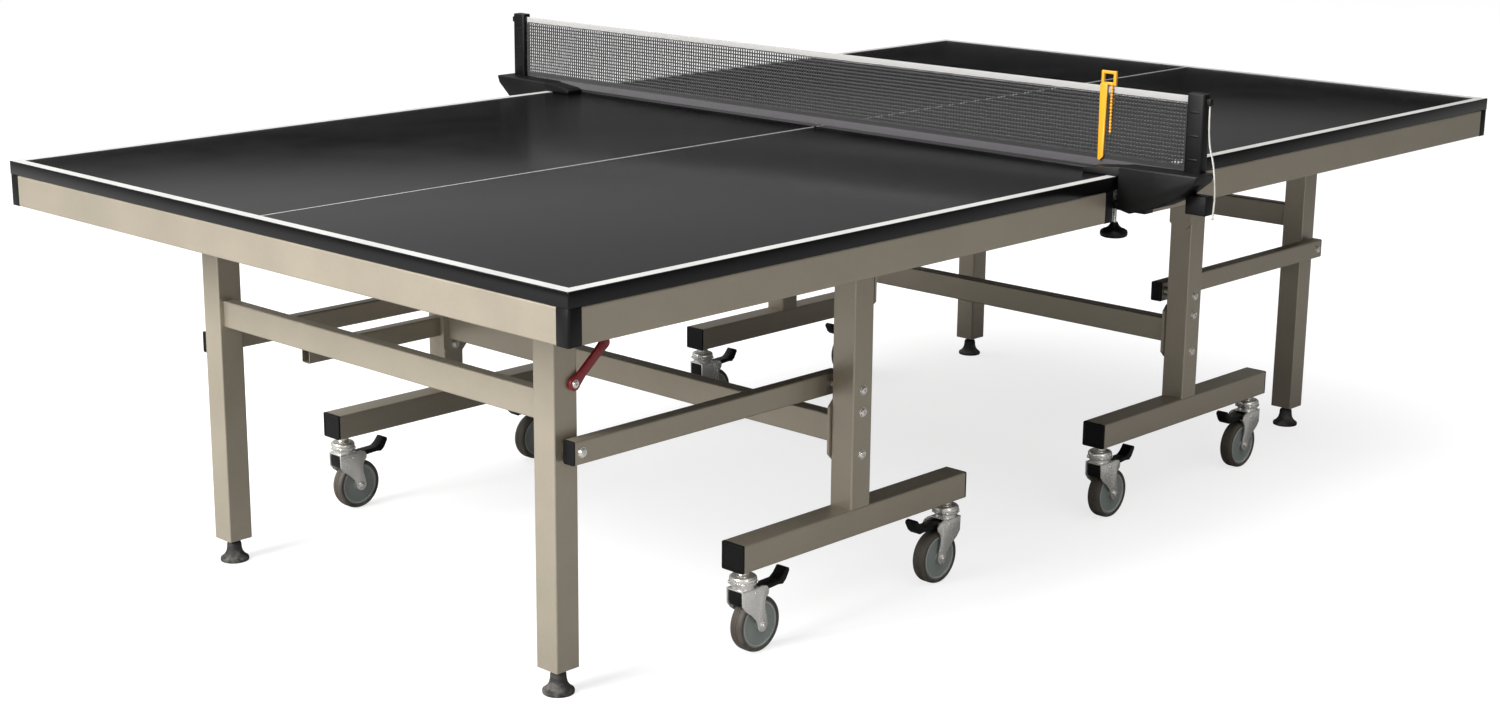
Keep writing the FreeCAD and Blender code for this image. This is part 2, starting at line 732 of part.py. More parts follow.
def place_caster(shape, swivel_x, side, trail):
    """Put a caster piece at its swivel axis; trail is 1 towards the net and -1 away from it."""
    placed = shape.copy()
    if trail < 0:
        placed.rotate(Vector(0, 0, 0), Z_AXIS, 180)
    placed.translate(Vector(swivel_x, side * stand_y, 0))
    return placed


# ---- net set, clamped to half A -----------------------------------------------------------
def net():
    return block(-net_thick / 2, net_thick / 2, -net_half_span, net_half_span,
                 table_height + net_bottom, net_top)


def net_support():
    """Left support: clamp bracket round the board's edge with the net post on it."""
    top = table_height + bracket_top
    y0 = bracket_inner_y
    y1 = bracket_half_span
    low = table_height - bracket_low
    jaw_high = table_height - jaw_drop
    knee = table_height - jaw_drop
    outline = [(y0, top), (y1, top + bracket_rise), (y1 - bracket_nose, top - bracket_nose_drop),
               (y1 - bracket_belly_in, table_height - bracket_belly_low),
               (y1 - bracket_knee_in, knee), (y0 + bracket_root, low), (y0, low + bracket_root_rise)]
    web = plate_yz(outline, -bracket_back, bracket_side)
    pad_end = y0 - pad_length
    side_x = -inner_edge - board_side_clear
    pad = plate_yz([(pad_end, table_height), (y0, table_height), (y0, top),
                    (pad_end + pad_slope, table_height + pad_thick),
                    (pad_end, table_height + pad_thick - pad_nose)], -bracket_back, side_x)
    jaw = block(-bracket_back, side_x, y0 - jaw_length, y0, jaw_high - jaw_thick, jaw_high)
    clamp = union([web, pad, jaw])
    clamp = clamp.cut(rod(screw_radius + pin_clear,
                          Vector(-screw_back, half_width - screw_from_side, low - cut_past), Z_AXIS,
                          bracket_low))
    slot_half = net_thick / 2 + net_slot_clear
    slot = block(-slot_half, slot_half, y0 - cut_past, net_half_span,
                 table_height + net_bottom - net_slot_clear, top + bracket_rise + cut_past)
    clamp = clamp.cut(slot)
    post_y0 = net_half_span
    post_y1 = net_half_span + net_post_wide
    post_foot = top + bracket_rise
    post = block(-net_post_thick / 2, net_post_thick / 2, post_y0, post_y1,
                 post_foot, net_top + net_post_above)
    post = fillet_along(post, Z_AXIS, net_post_round)
    foot = block(-net_post_thick / 2, net_post_thick / 2, post_y0, post_y1,
                 top - post_foot_depth, post_foot)
    cleat = block(-cleat_half_thick, cleat_half_thick, y1 - cleat_in, y1 - cleat_out,
                  table_height - cleat_low, table_height - cleat_high)
    eye = block(-cord_eye_half, cord_eye_half, post_y1, post_y1 + cord_eye_out,
                net_top - cord_eye_high, net_top - cord_eye_below)
    return union([clamp, foot, post, cleat, eye])


def clamp_screw(side):
    """Steel screw with a pad at its top and a mushroom knob at its foot."""
    pad_low = board_low - screw_pad_thick
    knob_top = board_low - screw_length
    pad = rod(screw_pad_radius, Vector(0, 0, pad_low), Z_AXIS, screw_pad_thick)
    shank = rod(screw_radius, Vector(0, 0, knob_top), Z_AXIS, pad_low - knob_top)
    neck = Part.makeCone(knob_radius * knob_neck_share, screw_radius + knob_neck_extra, knob_neck,
                         Vector(0, 0, knob_top - knob_neck), Z_AXIS)
    knob = rod(knob_radius, Vector(0, 0, knob_top - knob_neck - knob_height), Z_AXIS, knob_height)
    knob = knob.makeFillet(knob_round, [edge for edge in knob.Edges if len(edge.Vertexes) == 1])
    screw = union([pad, shank, neck, knob])
    screw.translate(Vector(-screw_back, side * (half_width - screw_from_side), 0))
    return screw


def net_gauge():
    """Height gauge that hangs over the net's top edge, with its strand of beads."""
    x_near = net_thick / 2 + gauge_clear
    x_far = x_near + gauge_thick
    y0 = gauge_y
    y1 = gauge_y - gauge_hook_wide
    hook = block(-x_far, x_far, y0, y1, net_top + gauge_clear, net_top + gauge_hook_high)
    hook = fillet_along(hook, Y_AXIS, gauge_round)
    strip = block(-x_far, -x_near, y0, y0 - gauge_strip_wide,
                  net_top - gauge_strip_drop, net_top + gauge_clear + gauge_lap)
    back = block(x_near, x_far, y0 - gauge_back_in, y1 + gauge_back_in,
                 net_top - gauge_back_drop, net_top + gauge_clear + gauge_lap)
    strand_x = -(x_far - strand_radius) - strand_out
    strand_y = y1 + strand_in
    base = net_top - strand_drop
    pieces = [hook, strip, back,
              rod(strand_radius, Vector(strand_x, strand_y, base), Z_AXIS, strand_drop + strand_lap)]
    for index in range(strand_beads):
        z = base + (index + 0.5) * strand_drop / strand_beads
        pieces.append(Part.makeSphere(strand_bead_radius, Vector(strand_x, strand_y, z)))
    return union(pieces)


def cord_points():
    """The net cord's free end, from the eye on the right post down past the bracket."""
    y = -(net_half_span + net_post_wide)
    top = net_top - cord_eye_high
    return [Vector(across, y - outwards, top - down) for across, outwards, down in cord_route]


def cord():
    """A round cord: straight runs joined by tangent arcs."""
    points = cord_points()
    edges = []
    radii = []
    start = points[0]
    for before, corner, after in zip(points, points[1:], points[2:]):
        back = before.sub(corner)
        ahead = after.sub(corner)
        shorter = min(back.Length, ahead.Length)
        turn = math.pi - back.getAngle(ahead)
        cut = cord_bend * shorter
        radii.append(cut / math.tan(turn / 2))
        back.normalize()
        ahead.normalize()
        arc_start = corner.add(back * cut)
        arc_end = corner.add(ahead * cut)
        middle = back.add(ahead).normalize()
        centre_far = radii[-1] / math.cos(turn / 2)
        arc_mid = corner.add(middle * (centre_far - radii[-1]))
        edges.append(Part.LineSegment(start, arc_start).toShape())
        edges.append(Part.Arc(arc_start, arc_mid, arc_end).toShape())
        start = arc_end
    edges.append(Part.LineSegment(start, points[-1]).toShape())
    path = Part.Wire(edges)
    first = points[1].sub(points[0])
    ring = Part.Wire([Part.makeCircle(cord_radius, points[0], first)])
    tube = path.makePipeShell([ring], True, True)
    section = math.pi * cord_radius ** 2
    print("cord radii", [round(radius, 1) for radius in radii], "mm")
    print("cord length", round(path.Length, 1), "mm; volume", round(tube.Volume, 1),
          "against", round(section * path.Length, 1), "mm3")
    return tube


# ---- write every node ---------------------------------------------------------------------
def half_nodes():
    """Node name to shapes, for half A."""
    guards = [corner_guard(-half_length, 1), corner_guard(-rail_setback, -1)]
    return {
        "board": [board()],
        "apron_rails": rails(),
        "corner_guards": both_sides(guards),
        "hinge_brackets": both_sides([fold_knuckle(), leg_clevis()]),
        "wheel_stands": both_sides([wheel_post(), base_bar(), fold_bracket()]),
        "crossbeam": crossbeam(),
        "base_caps": both_sides(base_caps()),
        "trolley_bolts": both_sides(trolley_bolts()),
        "legs": leg(1) + leg(-1),
        "leg_crossbar": [leg_crossbar()],
        "foot_left": [levelling_foot(1)],
        "foot_right": [levelling_foot(-1)],
        "link_bars": both_sides([link_bar()]),
        "link_fittings": both_sides(link_fittings()),
        "lock_lever": [lock_lever()],
    }


def caster_nodes():
    """Node name to shapes, for half A's four casters."""
    nodes = {}
    for row, swivel_x, trail in zip(("outer", "inner"), caster_places(), (1, -1)):
        for hand, side in (("left", 1), ("right", -1)):
            place = row + "_" + hand
            for kind, shapes in (("fork", fork()), ("wheel", wheel()), ("pedal", [pedal()])):
                nodes[kind + "_" + place] = [place_caster(shape, swivel_x, side, trail)
                                             for shape in shapes]
    return nodes


def main():
    nodes = half_nodes()
    nodes.update(caster_nodes())
    for name, shapes in nodes.items():
        only_a = [stay_arm()] if name == "wheel_stands" else []
        save(name + "_a", shapes + only_a)
        save(name + "_b", [half_turn(shape) for shape in shapes])
    save("net", [net()])
    left_support = net_support()
    save("net_supports", both_sides([left_support]))
    save("clamp_screw_left", [clamp_screw(1)])
    save("clamp_screw_right", [clamp_screw(-1)])
    save("net_gauge", [net_gauge()])
    save("net_cord", [cord()])
    print("fold pivot", pivot_x, pivot_z, "post", post_x, "leg pivot", leg_pivot_x, leg_pivot_z)


main()
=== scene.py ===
"""Looks of the folding ping pong table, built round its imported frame.

Metres, +Z up, X along the table and Y across it, as in the frame. Half A fills the -X side and half B
is half A turned 180 degrees about Z. Each piece is shaped for half A and then turned to its place.
"""

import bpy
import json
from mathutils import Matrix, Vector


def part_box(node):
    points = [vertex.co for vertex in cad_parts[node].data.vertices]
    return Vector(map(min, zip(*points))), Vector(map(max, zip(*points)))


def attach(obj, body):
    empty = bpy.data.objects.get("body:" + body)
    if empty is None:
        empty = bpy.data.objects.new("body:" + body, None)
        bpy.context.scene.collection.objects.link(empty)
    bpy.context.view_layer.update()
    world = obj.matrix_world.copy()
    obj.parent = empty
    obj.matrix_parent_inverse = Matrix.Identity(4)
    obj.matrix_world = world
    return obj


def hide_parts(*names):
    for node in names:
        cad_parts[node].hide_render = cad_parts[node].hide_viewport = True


bl_info = {
    "name": "Ping Pong Table Finishes",
    "version": (1, 0, 0),
    "blender": (4, 5, 0),
    "location": "View3D > Sidebar > Table",
    "description": "Builds the finished pieces of a folding ping pong table round its frame",
    "category": "Object",
}

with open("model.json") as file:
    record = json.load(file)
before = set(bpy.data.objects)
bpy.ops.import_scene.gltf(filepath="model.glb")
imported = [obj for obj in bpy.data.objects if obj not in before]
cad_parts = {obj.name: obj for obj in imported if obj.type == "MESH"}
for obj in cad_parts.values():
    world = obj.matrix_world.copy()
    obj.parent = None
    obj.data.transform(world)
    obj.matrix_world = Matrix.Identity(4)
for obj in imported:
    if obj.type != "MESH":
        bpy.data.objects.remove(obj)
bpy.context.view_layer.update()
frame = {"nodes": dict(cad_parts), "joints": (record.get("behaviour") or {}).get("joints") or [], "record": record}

import json
import math
import random

import bmesh
import bpy
from bpy.props import FloatProperty, FloatVectorProperty, IntProperty, PointerProperty
from mathutils import Matrix, Vector

BODY_OF = {node: body for body, nodes in frame["record"]["behaviour"]["bodies"].items() for node in nodes}
JOINTS = {joint["name"]: joint for joint in frame["joints"]}
HALVES = {"a": Matrix.Identity(4), "b": Matrix.Rotation(math.pi, 4, "Z")}
SIDES = {"left": 1, "right": -1}
FULL_TURN = 2 * math.pi
MM = 0.001

# ---- places on half A, read from the frame ------------------------------------------------
BOARD_LOW, BOARD_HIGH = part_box("board_a")
RAIL_LOW, RAIL_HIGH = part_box("apron_rails_a")
CAPS_LOW, CAPS_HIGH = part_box("base_caps_a")
BEAM_LOW, BEAM_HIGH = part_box("crossbeam_a")
LINK_LOW, LINK_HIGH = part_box("link_bars_a")
FOOT_LOW, FOOT_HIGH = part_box("foot_left_a")
NET_LOW, NET_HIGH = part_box("net")
SUPPORT_LOW, SUPPORT_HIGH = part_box("net_supports")
SCREW_LOW, SCREW_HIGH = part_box("clamp_screw_left")
GAUGE_LOW, GAUGE_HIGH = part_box("net_gauge")

HALF_WIDTH = BOARD_HIGH.y
SURFACE = BOARD_HIGH.z
END_X = BOARD_LOW.x
NET_SIDE_X = BOARD_HIGH.x
TUBE = 50 * MM
POST_X = (BEAM_LOW.x + BEAM_HIGH.x) / 2
STAND_Y = CAPS_HIGH.y - TUBE / 2
BASE_LOW_Z = CAPS_LOW.z
CAP_THICK = 4 * MM
END_PLATE = 5 * MM
BOLT_PITCH = 77 * MM
WASHER_RADIUS = 9 * MM
PIN_RADIUS = 5 * MM
LINK_WIDTH = 25 * MM
PLAY = 0.5 * MM
LEG_X = (FOOT_LOW.x + FOOT_HIGH.x) / 2
LEG_Y = (FOOT_LOW.y + FOOT_HIGH.y) / 2
BEAM_Z = (BEAM_LOW.z + BEAM_HIGH.z) / 2
LINK_Z = (LINK_LOW.z + LINK_HIGH.z) / 2
NET_SPAN = NET_HIGH.y


def swivel_x(row, hand):
    """Where half A's outer or inner casters turn, along the table."""
    return JOINTS["swivel_" + row + "_" + hand + "_a"]["pos_m"][0]


# ---- the net cord's route, from the eye on the right post to its knot ---------------------
CORD_ROUTE = [
    (0.0, -0.918, 0.8985), (0.0, -0.918, 0.8645), (0.0004, -0.9215, 0.8265),
    (0.0012, -0.931, 0.7985), (0.0004, -0.9365, 0.7605), (0.0014, -0.938, 0.7265),
    (0.001, -0.9345, 0.6985),
]
CORD_DIAMETER = 0.003


# ---- shapes -------------------------------------------------------------------------------
def soften(shape, width, segments=2, edges=None):
    """Round edges of a shape; all of them unless some are given."""
    if width > 0:
        chosen = list(shape.edges) if edges is None else edges
        bmesh.ops.bevel(shape, geom=chosen, offset=width, offset_type="OFFSET", affect="EDGES",
                        segments=segments, profile=0.5, material=-1, clamp_overlap=True)
    return shape


def block(low, high, edge=0.0, segments=2):
    """A box between two corners with rounded edges."""
    low, high = Vector(low), Vector(high)
    shape = bmesh.new()
    bmesh.ops.create_cube(shape, size=1.0)
    bmesh.ops.scale(shape, vec=high - low, verts=shape.verts)
    bmesh.ops.translate(shape, vec=(low + high) / 2, verts=shape.verts)
    return soften(shape, edge, segments)


def slab(half_x, y0, y1, z0, z1, edge=0.0, segments=2):
    """A box with rounded edges, centred on X = 0."""
    return block((-half_x, y0, z0), (half_x, y1, z1), edge, segments)


def turned(profile, steps=32, closed=False):
    """A round shape about Z: (radius, height) points spun through a full turn."""
    shape = bmesh.new()
    points = [shape.verts.new((radius, 0.0, height)) for radius, height in profile]
    pairs = list(zip(points, points[1:]))
    if closed:
        pairs.append((points[-1], points[0]))
    lines = [shape.edges.new(pair) for pair in pairs]
    bmesh.ops.spin(shape, geom=points + lines, cent=(0, 0, 0), axis=(0, 0, 1), angle=FULL_TURN,
                   steps=steps, use_merge=True)
    bmesh.ops.remove_doubles(shape, verts=shape.verts, dist=1e-6)
    bmesh.ops.recalc_face_normals(shape, faces=shape.faces)
    return shape


PLANES = {
    "XY": lambda u, v, w: (u, v, w),
    "XZ": lambda u, v, w: (u, w, v),
    "YZ": lambda u, v, w: (w, u, v),
}


def plate(outline, low, high, plane="XZ", edge=0.0, segments=2):
    """A plate through (u, v) points of a plane, from low to high across that plane."""
    at = PLANES[plane]
    shape = bmesh.new()
    face = shape.faces.new([shape.verts.new(at(u, v, low)) for u, v in outline])
    grown = bmesh.ops.extrude_face_region(shape, geom=[face])["geom"]
    raised = [item for item in grown if isinstance(item, bmesh.types.BMVert)]
    bmesh.ops.translate(shape, vec=at(0, 0, high - low), verts=raised)
    bmesh.ops.recalc_face_normals(shape, faces=shape.faces)
    return soften(shape, edge, segments)


def arc(centre_u, centre_v, radius, start, end, steps):
    """Outline points round a centre, from one angle to another, in degrees."""
    angles = [math.radians(start + (end - start) * step / steps) for step in range(steps + 1)]
    return [(centre_u + radius * math.cos(a), centre_v + radius * math.sin(a)) for a in angles]


def in_mm(points, u0=0.0, v0=0.0):
    """Points given in millimetres from an origin, in metres."""
    return [(u0 + u * MM, v0 + v * MM) for u, v in points]


def thread(low, high, pitch, root, crest):
    """A screw thread's profile of rings, from the axis at its lower end upwards."""
    profile = [(0.0, low)]
    for index in range(int((high - low) / pitch)):
        z = low + index * pitch
        profile += [(root, z), (crest, z + pitch * 0.4), (crest, z + pitch * 0.6)]
    return profile


def upright_edges(shape, length):
    return [edge for edge in shape.edges if abs(edge.verts[0].co.z - edge.verts[1].co.z) > length]


def sharp_edges(shape):
    return [edge for edge in shape.edges if edge.calc_face_angle(0) > math.radians(60)]


def hexagon(radius, height, edge=0.0):
    """A hexagonal bar standing on Z = 0, with its top and bottom corners eased."""
    shape = bmesh.new()
    bmesh.ops.create_cone(shape, cap_ends=True, segments=6, radius1=radius, radius2=radius, depth=height)
    bmesh.ops.translate(shape, vec=(0, 0, height / 2), verts=shape.verts)
    return soften(shape, edge, 2)


def moved(shape, matrix):
    bmesh.ops.transform(shape, matrix=matrix, verts=shape.verts)
    if matrix.determinant() < 0:
        bmesh.ops.reverse_faces(shape, faces=shape.faces)
    return shape


def shifted(shape, x, y, z):
    return moved(shape, Matrix.Translation((x, y, z)))


def along_y(shape, x, y, z, out=1):
    """Turn a shape that stands on Z so that its top points along +Y, or -Y, and place it."""
    return shifted(moved(shape, Matrix.Rotation(-out * math.pi / 2, 4, "X")), x, y, z)


def along_x(shape, x, y, z, out=1):
    """Turn a shape that stands on Z so that its top points along +X, or -X, and place it."""
    return shifted(moved(shape, Matrix.Rotation(out * math.pi / 2, 4, "Y")), x, y, z)


def on_both_sides(shapes):
    """These shapes and the same ones on the table's other long side."""
    return shapes + [moved(shape.copy(), Matrix.Scale(-1, 4, (0, 1, 0))) for shape in shapes]


def mesh_of(name, shape):
    mesh = bpy.data.meshes.new(name)
    shape.to_mesh(mesh)
    shape.free()
    return mesh


def joined(shapes):
    """One shape that holds all of these."""
    whole = bmesh.new()
    for shape in shapes:
        mesh = mesh_of("part", shape)
        whole.from_mesh(mesh)
        bpy.data.meshes.remove(mesh)
    return whole


def add_object(name, data):
    made = bpy.data.objects.new(name, data)
    bpy.context.scene.collection.objects.link(made)
    return made


def make_piece(name, shape, finishes, node, turn=None, slot="", stands_for=True, sharp=35):
    """Turn a shape into a piece that rides with a frame node's body; its slot argument is not used."""
    if turn is not None:
        moved(shape, turn)
    mesh = mesh_of(name, shape)
    for finish in finishes if isinstance(finishes, list) else [finishes]:
        mesh.materials.append(finish_of(finish))
    mesh.polygons.foreach_set("use_smooth", [True] * len(mesh.polygons))
    mesh.set_sharp_from_angle(angle=math.radians(sharp))
    piece = add_object(name, mesh)
    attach(piece, BODY_OF[node])
    if stands_for:
        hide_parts(node)
    return piece


def make_each(places, name, shape, finishes, node, **options):
    """The same piece at each (suffix, matrix) place, riding with the node of that place."""
    for suffix, place in dict(places).items():
        make_piece(name + "_" + suffix, shape.copy(), finishes, node + "_" + suffix, place, **options)
    shape.free()


# ---- shared effects: node groups ----------------------------------------------------------
def new_group(name, inputs, outputs):
    """A shader node group; inputs are (name, socket type, default) and outputs (name, type)."""
    group = bpy.data.node_groups.new(name, "ShaderNodeTree")
    for label, kind, default in inputs:
        socket = group.interface.new_socket(label, in_out="INPUT", socket_type=kind)
        if default is not None:
            socket.default_value = default
    for label, kind in outputs:
        group.interface.new_socket(label, in_out="OUTPUT", socket_type=kind)
    return group, group.nodes.new("NodeGroupInput"), group.nodes.new("NodeGroupOutput")


def feed(tree, socket, value):
    """Drive a socket from another one, or set it to a value."""
    if hasattr(value, "is_output"):
        tree.links.new(value, socket)
    else:
        socket.default_value = value


def set_inputs(node, values):
    for label, value in values.items():
        node.inputs[label].default_value = value


def noise(tree, vector, scale, detail, rough=0.5):
    """A noise texture; scale is a number or a socket."""
    node = tree.nodes.new("ShaderNodeTexNoise")
    set_inputs(node, {"Detail": detail, "Roughness": rough})
    tree.links.new(vector, node.inputs["Vector"])
    feed(tree, node.inputs["Scale"], scale)
    return node.outputs["Fac"]


def mapped(tree, value, low, high, to_low, to_high):
    """A value carried from one range to another, and kept inside it."""
    node = tree.nodes.new("ShaderNodeMapRange")
    tree.links.new(value, node.inputs["Value"])
    set_inputs(node, {"From Min": low, "From Max": high, "To Min": to_low, "To Max": to_high})
    return node.outputs["Result"]


def sums(tree, kind, first, second):
    """Arithmetic on two sockets, or on a socket and a number."""
    node = tree.nodes.new("ShaderNodeMath")
    node.operation = kind
    for place, value in enumerate((first, second)):
        feed(tree, node.inputs[place], value)
    return node.outputs["Value"]


def blended(tree, share, first, second):
    """A colour between two others; each is a socket or three numbers."""
    node = tree.nodes.new("ShaderNodeMix")
    node.data_type = "RGBA"
    tree.links.new(share, node.inputs["Factor"])
    for label, value in (("A", first), ("B", second)):
        socket = [s for s in node.inputs if s.name == label and s.type == "RGBA"][0]
        feed(tree, socket, value if hasattr(value, "is_output") else (*value, 1.0))
    return [s for s in node.outputs if s.type == "RGBA"][0]


def fine_grain_group():
    """Small surface grain as a height, and a slow cloudy tone."""
    group, enter, leave = new_group(
        "Fine grain",
        [("Vector", "NodeSocketVector", None), ("Scale", "NodeSocketFloat", 900.0)],
        [("Height", "NodeSocketFloat"), ("Tone", "NodeSocketFloat")])
    vector, scale = enter.outputs["Vector"], enter.outputs["Scale"]
    group.links.new(noise(group, vector, scale, 3.0, 0.6), leave.inputs["Height"])
    cloud = noise(group, vector, 7.0, 4.0, 0.55)
    speck = noise(group, vector, 160.0, 2.0, 0.5)
    tone = sums(group, "ADD", sums(group, "MULTIPLY", cloud, 0.75), sums(group, "MULTIPLY", speck, 0.25))
    group.links.new(mapped(group, tone, 0.35, 0.65, 0.0, 1.0), leave.inputs["Tone"])
    return group


def floor_dust_group():
    """Dust and scuffing that fade upwards from the floor."""
    group, enter, leave = new_group(
        "Floor dust",
        [("Vector", "NodeSocketVector", None), ("Colour", "NodeSocketColor", (0.5, 0.5, 0.5, 1.0)),
         ("Dust", "NodeSocketColor", (0.24, 0.22, 0.19, 1.0)), ("Reach", "NodeSocketFloat", 0.12)],
        [("Colour", "NodeSocketColor"), ("Mask", "NodeSocketFloat")])
    split = group.nodes.new("ShaderNodeSeparateXYZ")
    group.links.new(enter.outputs["Vector"], split.inputs["Vector"])
    height = sums(group, "DIVIDE", split.outputs["Z"], enter.outputs["Reach"])
    fade = mapped(group, height, 0.0, 1.0, 0.55, 0.0)
    patches = mapped(group, noise(group, enter.outputs["Vector"], 55.0, 4.0, 0.6), 0.42, 0.72, 0.0, 1.0)
    mask = sums(group, "MULTIPLY", fade, patches)
    group.links.new(mask, leave.inputs["Mask"])
    colour = blended(group, mask, enter.outputs["Colour"], enter.outputs["Dust"])
    group.links.new(colour, leave.inputs["Colour"])
    return group


def hairline_group():
    """Thin straight scratches and rub marks along one direction."""
    group, enter, leave = new_group(
        "Hairlines",
        [("Vector", "NodeSocketVector", None), ("Scale", "NodeSocketFloat", 30.0)],
        [("Mask", "NodeSocketFloat")])
    stretch = group.nodes.new("ShaderNodeVectorMath")
    stretch.operation = "MULTIPLY"
    stretch.inputs[1].default_value = (1.0, 16.0, 16.0)
    group.links.new(enter.outputs["Vector"], stretch.inputs[0])
    streak = noise(group, stretch.outputs["Vector"], enter.outputs["Scale"], 3.0, 0.7)
    patches = mapped(group, noise(group, enter.outputs["Vector"], 5.0, 3.0), 0.45, 0.65, 0.0, 1.0)
    mask = sums(group, "MULTIPLY", mapped(group, streak, 0.60, 0.72, 0.0, 1.0), patches)
    group.links.new(mask, leave.inputs["Mask"])
    return group


def weave_group():
    """Over-and-under cloth threads, as a height and a tone."""
    group, enter, leave = new_group(
        "Weave",
        [("Vector", "NodeSocketVector", None), ("Threads", "NodeSocketFloat", 900.0)],
        [("Height", "NodeSocketFloat"), ("Tone", "NodeSocketFloat")])
    heights = []
    for direction in ("Y", "Z"):
        wave = group.nodes.new("ShaderNodeTexWave")
        wave.bands_direction = direction
        wave.inputs["Distortion"].default_value = 0.6
        group.links.new(enter.outputs["Vector"], wave.inputs["Vector"])
        group.links.new(enter.outputs["Threads"], wave.inputs["Scale"])
        heights.append(wave.outputs["Fac"])
    height = sums(group, "MAXIMUM", *heights)
    group.links.new(height, leave.inputs["Height"])
    soft = noise(group, enter.outputs["Vector"], 40.0, 3.0)
    tone = sums(group, "ADD", sums(group, "MULTIPLY", height, 0.5), sums(group, "MULTIPLY", soft, 0.5))
    group.links.new(tone, leave.inputs["Tone"])
    return group


SHARED_EFFECTS = {
    "Fine grain": fine_grain_group,
    "Floor dust": floor_dust_group,
    "Hairlines": hairline_group,
    "Weave": weave_group,
}


def effect(tree, name, vector, **values):
    """Place a shared effect in a material; the other arguments feed its sockets."""
    group = bpy.data.node_groups.get(name) or SHARED_EFFECTS[name]()
    node = tree.nodes.new("ShaderNodeGroup")
    node.node_tree = group
    tree.links.new(vector, node.inputs["Vector"])
    for label, value in values.items():
        feed(tree, node.inputs[label], value)
    return node.outputs


# ---- finishes -----------------------------------------------------------------------------
def new_finish(name):
    """An empty material with its shader and its object coordinates."""
    finish = bpy.data.materials.new(name)
    finish.use_nodes = True
    tree = finish.node_tree
    shader = tree.nodes["Principled BSDF"]
    place = tree.nodes.new("ShaderNodeTexCoord")
    return finish, tree, shader, place.outputs["Object"]


def raise_surface(tree, shader, height, strength, distance):
    bump = tree.nodes.new("ShaderNodeBump")
    set_inputs(bump, {"Strength": strength, "Distance": distance})
    tree.links.new(height, bump.inputs["Height"])
    tree.links.new(bump.outputs["Normal"], shader.inputs["Normal"])


def shades(colour, spread):
    """A darker and a lighter version of a colour."""
    return tuple(c * (1 - spread) for c in colour), tuple(min(1.0, c * (1 + spread)) for c in colour)


def grained_finish(name, colour, rough, metal=0.0, grain=900.0, depth=0.15, spread=0.08, dust=0.0,
                   coat=0.0, specular=0.5):
    """A painted, plated or moulded finish: cloudy colour, fine grain, and dust near the floor."""
    finish, tree, shader, place = new_finish(name)
    set_inputs(shader, {"Metallic": metal, "Coat Weight": coat, "Specular IOR Level": specular})
    grains = effect(tree, "Fine grain", place, Scale=grain)
    colours = blended(tree, grains["Tone"], *shades(colour, spread))
    roughness = mapped(tree, grains["Tone"], 0.0, 1.0, rough * 0.88, min(1.0, rough * 1.14))
    if dust > 0:
        dusty = effect(tree, "Floor dust", place, Colour=colours, Reach=dust)
        colours = dusty["Colour"]
        roughness = sums(tree, "ADD", roughness, sums(tree, "MULTIPLY", dusty["Mask"], 0.3))
    tree.links.new(colours, shader.inputs["Base Color"])
    tree.links.new(roughness, shader.inputs["Roughness"])
    raise_surface(tree, shader, grains["Height"], depth, 0.0004)
    return finish


def board_finish(name, colour):
    """Satin coated playing board: fine orange peel, faint cloudiness and ball rub marks."""
    finish, tree, shader, place = new_finish(name)
    shader.inputs["Specular IOR Level"].default_value = 0.3
    grains = effect(tree, "Fine grain", place, Scale=650.0)
    marks = effect(tree, "Hairlines", place, Scale=9.0)
    colours = blended(tree, grains["Tone"], *shades(colour, 0.10))
    rub_mark = (0.0032, 0.0031, 0.0031)
    rubbed = blended(tree, sums(tree, "MULTIPLY", marks["Mask"], 0.5), colours, rub_mark)
    roughness = mapped(tree, grains["Tone"], 0.0, 1.0, 0.18, 0.22)
    roughness = sums(tree, "ADD", roughness, sums(tree, "MULTIPLY", marks["Mask"], 0.02))
    tree.links.new(rubbed, shader.inputs["Base Color"])
    tree.links.new(roughness, shader.inputs["Roughness"])
    raise_surface(tree, shader, grains["Height"], 0.05, 0.0002)
    return finish


def cloth_finish(name, colour, threads, spread=0.16):
    """Woven tape or twine."""
    rough = 0.85
    finish, tree, shader, place = new_finish(name)
    shader.inputs["Sheen Weight"].default_value = 0.25
    weave = effect(tree, "Weave", place, Threads=threads)
    colours = blended(tree, weave["Tone"], *shades(colour, spread))
    tree.links.new(colours, shader.inputs["Base Color"])
    tree.links.new(mapped(tree, weave["Tone"], 0.0, 1.0, rough, rough * 0.86), shader.inputs["Roughness"])
    raise_surface(tree, shader, weave["Height"], 0.5, 0.0004)
    return finish


def sizes():
    return bpy.context.scene.table_sizes


